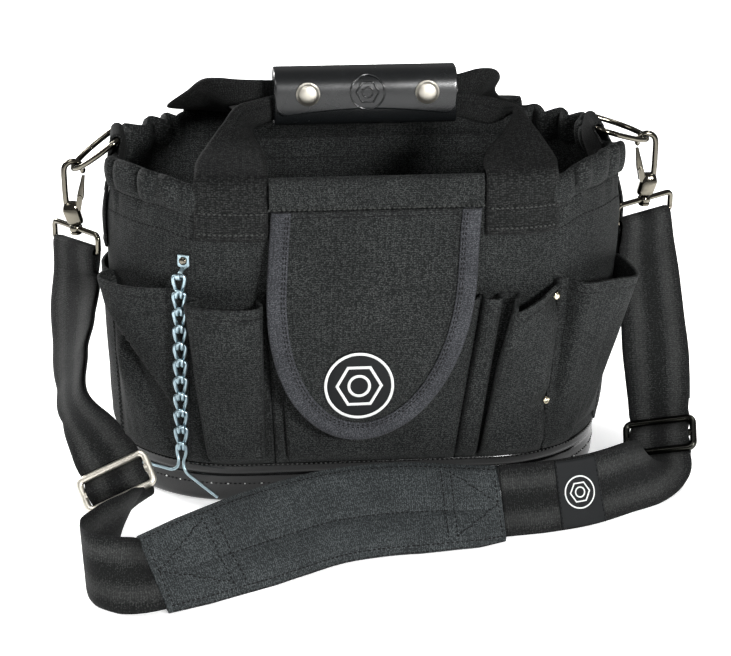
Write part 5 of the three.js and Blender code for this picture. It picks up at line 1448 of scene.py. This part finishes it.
def on_grid(grid, rows, columns):
    """Points between the points of a grid, at fractional row and column numbers."""
    r = np.clip(np.floor(rows).astype(int), 0, grid.shape[0] - 2)
    c = np.clip(np.floor(columns).astype(int), 0, grid.shape[1] - 2)
    down, right = (rows - r)[..., None], (columns - c)[..., None]
    return mix(mix(grid[r, c], grid[r, c + 1], right), mix(grid[r + 1, c], grid[r + 1, c + 1], right), down)


def grounded(rows, clearance):
    """Rows that would dip below the ground are raised until their lower edge stands on it."""
    short = np.maximum(0, clearance - rows[..., 2].min(axis=1))
    lifted = rows.copy()
    lifted[..., 2] += short[:, None]
    return lifted


class TOOLBAG_OT_straps(bpy.types.Operator):
    """Two lengths of strap webbing with their slides, and the label on the right one"""

    bl_idname = "toolbag.straps"
    bl_label = "Straps"

    COLUMNS = 17

    def execute(self, context):
        for label in ("left", "right"):
            self.strap(label)
        return {"FINISHED"}

    def rows(self, middle, across, facing, lift, width):
        share = np.linspace(-0.5, 0.5, self.COLUMNS)[None, :, None]
        lift = np.broadcast_to(lift, len(middle))[:, None, None]
        width = np.broadcast_to(width, len(middle))[:, None, None]
        made = middle[:, None] + across[:, None] * share * width + facing[:, None] * lift
        return grounded(made, STRAP.web / 2 + 0.1)

    def strap(self, label):
        foot = snap_foot(END[label]) - [0, 0, SNAP.bar_drop]
        run = [(*foot, *ACROSS[label]), *RUN[label]]
        path = walk(run, 361)
        at = int(round(SLIDE_STATION[label] / (len(run) - 1) * 360))
        slide = {key: path[key][at] for key in ("middle", "along", "across", "facing", "distance")}
        out = 1 if slide["facing"][1] < 0 else -1
        opened = lambda d: STRAP.layer + (STRAP.turn - STRAP.layer) * (1 - ease(d / 26))
        width_at = lambda d: mix(STRAP.gathered, STRAP.width, ease((d - 6) / 40))
        away = path["distance"] - slide["distance"]
        wave = np.cos(np.pi * away / SLIDE.half_tall)
        weave = 3.2 * wave * (1 - ease((np.abs(away) - 12) / 9))
        layer = np.where(away < 0, opened(path["distance"]) * ease((-away - 12) / 12), 0)
        hold = (1 - ease((np.abs(away) - 14) / 16))[:, None]
        middle = mix(path["middle"], slide["middle"] + slide["along"] * away[:, None], hold)
        across = unit(mix(path["across"], slide["across"], hold))
        facing = unit(mix(path["facing"], slide["facing"], hold))
        bunched = 1 - 0.1 * (1 - ease(np.abs(away) / 80))
        width = width_at(path["distance"]) * bunched
        front = self.rows(middle, across, facing, out * (weave + layer), width)
        kept = (away < -26) & (path["distance"] > 0)
        back = self.rows(path["middle"][kept], path["across"][kept], path["facing"][kept],
                         -out * opened(path["distance"][kept]), width[kept])
        turns = np.radians(np.linspace(-90, 90, 15))
        bend = self.rows(path["middle"][0] - path["along"][0] * STRAP.turn * np.cos(turns)[:, None],
                         np.tile(path["across"][0], (15, 1)), np.tile(path["facing"][0], (15, 1)),
                         out * STRAP.turn * np.sin(turns), STRAP.gathered)
        rows = np.concatenate([back[::-1], bend, front[1:]])
        steps = np.concatenate([[0], np.cumsum(np.linalg.norm(np.diff(rows.mean(1), axis=0), axis=1))])
        length = steps[-1]
        wanted = np.linspace(0, length, int(length / 2.2))
        flat = rows.reshape(len(rows), -1)
        rows = np.stack([np.interp(wanted, steps, flat[:, k]) for k in range(flat.shape[1])], axis=1)
        rows = rows.reshape(len(wanted), self.COLUMNS, 3)
        half = np.full(rows.shape[:2], STRAP.web / 2)
        half[:, [0, -1]] *= 0.55
        obj, _skin, _normal = cloth(f"strap_{label}_web", rows, half, half, finish["strap"])
        settle(obj, "bag", "webbing", f"strap_{label}")
        self.slide(label, slide)
        if label == "right":
            self.label(path, out)

    def slide(self, label, slide):
        spot = lambda u, v: slide["middle"] + slide["across"] * u + slide["along"] * v
        half_length, tall, wire = SLIDE.half_length, SLIDE.half_tall, SLIDE.wire
        line = [spot(u, v) for u, v in rounded_frame(half_length, tall, -tall, SLIDE.corner, 8)]
        loop = evenly(np.array([*line, line[0]]), 121)[:-1]
        bar = np.linspace(0, 1, 20)[:, None] * (spot(half_length, 0) - spot(-half_length, 0))
        shell = gathered([tube(loop, wire, 12, closed=True), tube(spot(-half_length, 0) + bar, wire, 12)])
        # The right slide takes the nickel with painted shade, the left one the satin nickel
        plating = "satin_nickel" if label == "left" else "dark_nickel"
        bag_piece(f"slide_{label}_wire", shell, plating, "nickel", f"slide_{label}", sharp=50)

    def label(self, path, out):
        """Smooth cloth label sewn on the strap, with a small printed badge."""
        picked = (path["t"] > 0.78) & (path["t"] < 0.885)
        middle, across, facing = (path[key][picked] for key in ("middle", "across", "facing"))
        lift = out * (STRAP.web / 2 + 0.8)
        share = np.linspace(-0.5, 0.5, 21)[None, :, None]
        wide = STRAP.width - 3
        flat = middle[:, None] + across[:, None] * share * wide + facing[:, None] * lift
        obj, _skin, normal = cloth("strap_label_cloth", flat, 0.4, 0.4, finish["label"])
        settle(obj, "bag", "patch", "strap_label")
        sign = np.sign((normal * facing[:, None]).sum()) * out
        face = flat + normal * sign * 0.4
        step = np.linalg.norm(np.diff(middle, axis=0), axis=1).mean()
        place = lambda x, y, up: on_grid(
            face + normal * sign * (up + 0.06), len(middle) / 2 + x / step, 10 + y / wide * 20)
        bag_piece("strap_label_print", nut_motif(place, 11.5, 0.12), "ink", "patch")
        for row in (1, -2):
            sew("dark", face[row], normal[row] * sign, 0.1)


class TOOLBAG_OT_pad(bpy.types.Operator):
    """Shoulder pad: its cover is swollen by a short cloth simulation between its sewn edges"""

    bl_idname = "toolbag.pad"
    bl_label = "Shoulder pad"

    ROWS, COLUMNS = 121, 33
    # The cover in the simulation: steps, and settings of its cloth
    STEPS = 20
    COVER = {
        "quality": 6, "mass": 0.3, "tension_stiffness": 18, "compression_stiffness": 18,
        "bending_stiffness": 0.6, "use_pressure": True, "uniform_pressure_force": 3.5,
        "vertex_group_mass": "held",
    }
    # Places across, from -1 to 1: the sewn channel, and the seams along the edges
    CHANNEL = -0.12
    SEAMS = (-0.97, -0.88, 0.9)

    def execute(self, context):
        path = walk(PAD_RUN, self.ROWS)
        width = np.interp(path["t"], *np.transpose(PAD_WIDTH))
        share = np.linspace(-1, 1, self.COLUMNS)
        reach = (share[None, :] * width[:, None] / 2)[..., None]
        rows = grounded(path["middle"][:, None] + path["across"][:, None] * reach, PAD.edge / 2)
        ends = ease(np.minimum(path["t"], 1 - path["t"]) / 0.1)[:, None]
        flange = ease((0.97 - np.abs(share)) / 0.16)[None, :]
        channel = bell(share - self.CHANNEL, 0.08)[None, :]
        filled = flange * mix(0.35, 1, ends) * (1 - 0.7 * channel * ends)
        half = mix(PAD.edge * 0.42, PAD.thick / 2, filled)
        obj, _skin, _out = cloth("shoulder_pad_cover", rows, half, half, finish["pad"])
        held = np.clip(1 - filled * 1.6, 0, 1) + np.broadcast_to(channel * ends, filled.shape)
        self.swell(context, obj, np.clip(held, 0, 1))
        grid = mesh_points(obj.data).reshape(2, self.ROWS, self.COLUMNS, 3) / MM
        normal = unit(grid[0] - grid[1])
        face = grid[0] if (normal[60, 16] @ [0, -1, 0.3]) > 0 else grid[1]
        normal = normal if face is grid[0] else -normal
        settle(obj, "bag", "pad_cloth", "shoulder_pad")
        column = lambda s: int(np.argmin(np.abs(share - s)))
        for s in self.SEAMS:
            sew("dark", face[2:-2, column(s)], normal[2:-2, column(s)], 0.15)
        sew("dark", face[24:-26, column(self.CHANNEL)], normal[24:-26, column(self.CHANNEL)], 0.1)
        # Each end has a seam, a sewn V and two seams across its point
        low, middle, high = column(-0.74), column(0), column(0.74)
        for first, last, past in ((2, 22, 26), (self.ROWS - 3, self.ROWS - 24, self.ROWS - 28)):
            sew("dark", face[first, low:high], normal[first, low:high], 0.15)
            self.zigzag(face, normal, [(last, low), (first, middle), (last, high)])
            self.zigzag(face, normal, [(past, low), (past, high)])
            self.zigzag(face, normal, [(last, low), (last, high)])
        return {"FINISHED"}

    def zigzag(self, face, normal, corners):
        """A sewing line over the pad's face from corner to corner, given by row and column."""
        spots = []
        for (r0, c0), (r1, c1) in zip(corners[:-1], corners[1:]):
            count = max(abs(r1 - r0), abs(c1 - c0)) + 1
            spots += list(zip(np.linspace(r0, r1, count).round().astype(int),
                              np.linspace(c0, c1, count).round().astype(int)))
        r, c = np.array(spots).T
        sew("dark", face[r, c], normal[r, c], 0.15)

    def swell(self, context, obj, held):
        """Air pressure fills the cover while its edges and sewn channel are held."""
        start = mesh_points(obj.data)
        group = obj.vertex_groups.new(name="held")
        for number, weight in enumerate(np.tile(held.ravel(), 2)):
            group.add([number], float(weight), "REPLACE")
        fabric = obj.modifiers.new("cover", "CLOTH")
        for name, value in self.COVER.items():
            setattr(fabric.settings, name, value)
        fabric.settings.effector_weights.gravity = 0
        fabric.collision_settings.use_collision = False
        fabric.point_cache.frame_start = 1
        fabric.point_cache.frame_end = self.STEPS
        for step in range(1, self.STEPS + 1):
            context.scene.frame_set(step)
        shaped = obj.evaluated_get(context.evaluated_depsgraph_get())
        shift = mesh_points(shaped.to_mesh()) - start
        shaped.to_mesh_clear()
        obj.modifiers.remove(fabric)
        context.scene.frame_set(1)
        reach = np.linalg.norm(shift, axis=1, keepdims=True)
        cap = context.scene.tool_bag_sizes.pad_cap
        final = start + shift * np.minimum(1, cap / np.maximum(reach, 1e-9))
        final[:, 2] = np.maximum(final[:, 2], 0.0003)
        obj.data.vertices.foreach_set("co", final.ravel())
        obj.data.update()


class TOOLBAG_OT_chain(bpy.types.Operator):
    """Tape chain with its fixing plate and T-hook, and the rivets"""

    bl_idname = "toolbag.chain"
    bl_label = "Chain and rivets"

    # Half of a link from its top bar down to the folded end: sideways, forward, drop
    LINK = [
        (1.4, 0, 0), (3.3, 0, -0.3), (3.9, 0, -1.8), (3.7, 0, -4), (3.1, -0.3, -7), (2.3, -1, -9.8),
        (1.7, -2.2, -12), (1.5, -1.9, -14.1), (1.5, 0, -15.1), (1.5, 1.9, -14.1), (1.5, 2.6, -12.2),
        (1.3, 2.6, -10.4),
    ]
    # T-hook, from the top: half of its loop and both arms: sideways, forward, drop
    LOOP = [(1.2, 0, 0), (2.9, 0, -0.6), (3.5, 0, -3), (3.1, 0.3, -7), (1.9, 1, -11)]
    LEFT_ARM = [(-2.6, 1.8, -15.5), (-6, 2.4, -18), (-14, 4.5, -16.5), (-26, 9, -13)]
    RIGHT_ARM = [(2.3, 1.6, -15), (4.6, 2.4, -19), (13, 4.5, -23), (31, 9.5, -30)]
    # The chain hangs turned a little to the front
    TURNED = np.array([0.35, -0.2, 0])
    # Domed head: share of the radius, share of the height
    HEAD = [(0.01, 0), (0.9, 0), (1, 0.1), (0.99, 0.28), (0.8, 0.7), (0.45, 0.94), (0.01, 1)]

    def frame(self, z):
        """Middle of the chain at a height, the direction out and the direction sideways."""
        middle, out = wall_frame(seam_place(CHAIN, z), np.float64(z))
        return middle + out * CHAIN.offset, out, unit(np.cross([0, 0, 1], out))

    def at(self, seat, u, v, z):
        middle, out, side = seat
        point = middle + side * u + out * v
        return np.array([point[0], point[1], z])

    def execute(self, context):
        self.links()
        self.plate()
        self.hook()
        self.rivets()
        return {"FINISHED"}

    def links(self):
        loop = [*self.LINK, *((-u, v, drop) for u, v, drop in self.LINK[::-1])]
        line = smooth_line(loop, 84, closed=True)
        # In the link's own frame x runs down the chain and z faces out
        turned = np.stack([-line[:, 2], line[:, 0], line[:, 1]], axis=1)
        template = make_object("link_shape", *tube(turned, CHAIN.wire, 10, closed=True), finish["zinc"])
        spots = []
        for k in range(CHAIN.links):
            z = CHAIN.top - k * CHAIN.pitch
            here, low = self.frame(z), self.frame(z - CHAIN.pitch)
            first, last = self.at(here, 0, 0, z), self.at(low, 0, 0, z - CHAIN.pitch)
            spots.append((first, unit(last - first), unit(here[1] + self.TURNED)))
        names = [f"chain_link_{k + 1:02d}" for k in range(CHAIN.links)]
        settle(set_pieces("chain_links", spots, template, finish["zinc"]), "bag", "zinc", *names)
        bpy.data.objects.remove(template)

    def plate(self):
        """A flat tab on the wall with a narrow tongue folded round the first link."""
        top = CHAIN.top
        lift = BODY.wall / 2 + SEWN_GAP + CHAIN.plate_half - CHAIN.offset
        tongue = [
            (181, 4.1, lift), (177, 4.1, lift), (173.4, 4.0, lift), (172, 1.9, lift + 0.4),
            (169.5, 1.5, -CHAIN.wrap), (top - 1.7, 1.5, -1.6), (top - 2.3, 1.5, 0), (top - 1.7, 1.5, 1.6),
            (top, 1.5, 2.3), (top + 1.4, 1.5, 2.3),
        ]
        flat, low = self.frame(CHAIN.plate_z), self.frame(top)
        rows = [[self.at(flat if z > 171 else low, u * wide, up, z) for u in np.linspace(-1, 1, 9)]
                for z, wide, up in tongue]
        control = np.array(rows).reshape(len(rows), -1)
        line = smooth_line(control, 60).reshape(60, 9, 3)
        obj, _skin, _out = cloth("chain_plate_tab", line, 0.6, 0.6, finish["zinc"])
        settle(obj, "bag", "zinc", "chain_plate")

    def hook(self):
        """One bent wire: a loop in the last link and two spread arms."""
        z = CHAIN.top - CHAIN.links * CHAIN.pitch
        right = [*self.LOOP, *self.RIGHT_ARM]
        left = [*((-u, v, drop) for u, v, drop in self.LOOP), *self.LEFT_ARM]
        seat = self.frame(z)
        line = [self.at(seat, u, v, z + drop) for u, v, drop in left[::-1] + right]
        shell = tube(smooth_line(line, 150), CHAIN.hook_wire, 12)
        bag_piece("chain_hook_wire", shell, "zinc", "zinc", "chain_hook")

    def rivets(self):
        tall = RIVET.radius * RIVET.rise
        template = domed("rivet_shape", self.HEAD, 18, 24, RIVET.radius, tall, "brass")
        lift = POCKET.seam_offset + POCKET.cloth / 2 + 0.75
        heads = []
        for name, z in (("rivet_front_top", RIVET.top_z), ("rivet_front_low", RIVET.low_z)):
            middle, out = wall_frame(seam_place(RIVET, z), np.float64(z))
            heads.append((name, middle + out * lift, out, "brass"))
        seat = self.frame(CHAIN.plate_z)
        plate = BODY.wall / 2 + SEWN_GAP + CHAIN.plate_half - CHAIN.offset + 0.95
        heads.append(("rivet_chain", self.at(seat, 0, plate, CHAIN.plate_z + 1), seat[1], "nickel"))
        for name, middle, out, look in heads:
            made = set_pieces(name + "_head", [(middle, (0, 0, -1), out)], template, finish[look])
            settle(made, "bag", "brass", name)
        bpy.data.objects.remove(template)


# Geometry Nodes
def line_mesh(name, lines):
    """An object of loose lines whose points know the direction out of the surface."""
    points = np.concatenate([line for line, _out in lines])
    outward = np.concatenate([out for _line, out in lines])
    edges, count = [], 0
    for line, _out in lines:
        edges += [(count + k, count + k + 1) for k in range(len(line) - 1)]
        count += len(line)
    mesh = bpy.data.meshes.new(name)
    mesh.from_pydata((points * MM).tolist(), edges, [])
    mesh.attributes.new("outward", "FLOAT_VECTOR", "POINT").data.foreach_set("vector", outward.ravel())
    obj = bpy.data.objects.new(name, mesh)
    bpy.context.scene.collection.objects.link(obj)
    return obj


def named_inputs(tree, sockets):
    """Adds the tree's inputs and its one output, and returns its start and finish nodes."""
    tree.interface.new_socket("Geometry", in_out="OUTPUT", socket_type="NodeSocketGeometry")
    tree.interface.new_socket("Geometry", in_out="INPUT", socket_type="NodeSocketGeometry")
    for name, kind in sockets:
        tree.interface.new_socket(name, in_out="INPUT", socket_type=kind)
    return node(tree, "NodeGroupInput").outputs, node(tree, "NodeGroupOutput")


def facing_turn(tree, along, outward):
    """Rotation whose x runs along a line and whose z points out of the surface."""
    first = node(tree, "FunctionNodeAlignRotationToVector", {"Vector": along}, axis="X")
    return node(tree, "FunctionNodeAlignRotationToVector", {"Rotation": first, "Vector": outward},
                axis="Z", pivot_axis="X")


def sewing_tree():
    """Stitches in even steps along lines."""
    tree = bpy.data.node_groups.new("Sewing", "GeometryNodeTree")
    given, finished = named_inputs(tree, [
        ("Stitch", "NodeSocketFloat"), ("Pitch", "NodeSocketFloat"), ("Thread", "NodeSocketFloat"),
        ("Material", "NodeSocketMaterial")])
    line = node(tree, "GeometryNodeMeshToCurve", {"Mesh": given["Geometry"]})
    steps = node(tree, "GeometryNodeResampleCurve", {"Curve": line, "Length": given["Pitch"]},
                 mode="LENGTH")
    bead = node(tree, "GeometryNodeMeshUVSphere", {"Segments": 6, "Rings": 5, "Radius": 0.5})
    shape = node(tree, "ShaderNodeCombineXYZ", {0: given["Stitch"], 1: given["Thread"], 2: given["Thread"]})
    stitch = node(tree, "GeometryNodeTransform", {"Geometry": bead, "Scale": shape})
    along = node(tree, "GeometryNodeInputTangent")
    outward = node(tree, "GeometryNodeInputNamedAttribute", {"Name": "outward"}, data_type="FLOAT_VECTOR")
    placed = node(tree, "GeometryNodeInstanceOnPoints", {
        "Points": steps, "Instance": stitch,
        "Rotation": facing_turn(tree, along, outward)})
    real = node(tree, "GeometryNodeRealizeInstances", {0: placed})
    smooth = node(tree, "GeometryNodeSetShadeSmooth", {0: real})
    painted = node(tree, "GeometryNodeSetMaterial", {0: smooth, "Material": given["Material"]})
    fill(tree, finished, {0: painted})
    return tree


def setting_tree():
    """One shape set on each point, turned to the point's own directions."""
    tree = bpy.data.node_groups.new("Setting", "GeometryNodeTree")
    given, finished = named_inputs(tree, [("Shape", "NodeSocketObject"), ("Material", "NodeSocketMaterial")])
    shape = node(tree, "GeometryNodeObjectInfo", {"Object": given["Shape"]})
    read = [node(tree, "GeometryNodeInputNamedAttribute", {"Name": name}, data_type="FLOAT_VECTOR")
            for name in ("along", "outward")]
    placed = node(tree, "GeometryNodeInstanceOnPoints", {
        "Points": given["Geometry"], "Instance": shape.outputs["Geometry"],
        "Rotation": facing_turn(tree, *read)})
    real = node(tree, "GeometryNodeRealizeInstances", {0: placed})
    painted = node(tree, "GeometryNodeSetMaterial", {0: real, "Material": given["Material"]})
    fill(tree, finished, {0: painted})
    return tree


def grown(obj, tree, values):
    """Runs a tree on an object with the given inputs and keeps the result as its plain mesh."""
    modifier = obj.modifiers.new(tree.name, "NODES")
    modifier.node_group = tree
    sockets = {item.name: item.identifier for item in tree.interface.items_tree if item.in_out == "INPUT"}
    for name, value in values.items():
        modifier[sockets[name]] = value
    result = obj.evaluated_get(bpy.context.evaluated_depsgraph_get())
    mesh = bpy.data.meshes.new_from_object(result)
    obj.modifiers.remove(modifier)
    obj.data = mesh
    return obj


trees = {}


def set_pieces(name, spots, template, material):
    """Copies of a shape at the given spots, each a place, a direction along and a direction out."""
    if "setting" not in trees:
        trees["setting"] = setting_tree()
    place, along, out = (np.array([spot[k] for spot in spots], float) for k in range(3))
    obj = line_mesh(name, [(place[k:k + 1], out[k:k + 1]) for k in range(len(spots))])
    obj.data.attributes.new("along", "FLOAT_VECTOR", "POINT").data.foreach_set("vector", along.ravel())
    made = grown(obj, trees["setting"], {"Shape": template, "Material": material})
    made.data.shade_smooth()
    return made


class TOOLBAG_OT_stitching(bpy.types.Operator):
    """Every stitch, along the sewing lines that the other pieces left"""

    bl_idname = "toolbag.stitching"
    bl_label = "Stitching"

    def execute(self, context):
        sizes = context.scene.tool_bag_sizes
        tree = sewing_tree()
        stitch, pitch, thread = sizes.stitch, sizes.stitch_pitch, sizes.thread
        # Object name, sewing lines, stitch length, pitch, thread, material
        table = [
            ("dark_stitches", "dark", stitch, pitch, thread, "dark_thread"),
            ("grey_stitches", "bead", stitch * 0.9, pitch, thread * 1.15, "grey_thread"),
            ("pale_stitches", "light", stitch * 0.8, pitch, thread * 0.8, "light_thread"),
            ("pale_knots", "knots", thread * 1.7, sizes.base_pitch, thread * 1.1, "ink"),
        ]
        for name, lines, length, gap, thick, material in table:
            obj = line_mesh(name, sewing[lines])
            values = {"Stitch": length, "Pitch": gap, "Thread": thick, "Material": finish[material]}
            settle(grown(obj, tree, values), "bag", "fabric")
        return {"FINISHED"}


STEPS = (
    TOOLBAG_OT_stage, TOOLBAG_OT_base, TOOLBAG_OT_body, TOOLBAG_OT_pockets, TOOLBAG_OT_flap,
    TOOLBAG_OT_handles, TOOLBAG_OT_ring_ends, TOOLBAG_OT_snap_hooks, TOOLBAG_OT_straps, TOOLBAG_OT_pad,
    TOOLBAG_OT_chain, TOOLBAG_OT_stitching,
)


class TOOLBAG_PT_sidebar(bpy.types.Panel):
    """Sizes, colours and the steps that build the bag"""

    bl_idname = "TOOLBAG_PT_sidebar"
    bl_label = "Tool Bag"
    bl_space_type = "VIEW_3D"
    bl_region_type = "UI"
    bl_category = "Tool Bag"

    def draw(self, context):
        for step in STEPS:
            self.layout.operator(step.bl_idname)
        for group in (context.scene.tool_bag_sizes, context.scene.tool_bag_colours):
            for name in group.__annotations__:
                self.layout.prop(group, name)


CLASSES = (ToolBagSizes, ToolBagColours, *STEPS, TOOLBAG_PT_sidebar)


def register():
    for made in CLASSES:
        bpy.utils.register_class(made)
    bpy.types.Scene.tool_bag_sizes = bpy.props.PointerProperty(type=ToolBagSizes)
    bpy.types.Scene.tool_bag_colours = bpy.props.PointerProperty(type=ToolBagColours)


def unregister():
    del bpy.types.Scene.tool_bag_colours
    del bpy.types.Scene.tool_bag_sizes
    for made in reversed(CLASSES):
        bpy.utils.unregister_class(made)


def main():
    register()
    for step in STEPS:
        group, name = step.bl_idname.split(".")
        getattr(getattr(bpy.ops, group), name)()


if __name__ == "__main__":
    main()
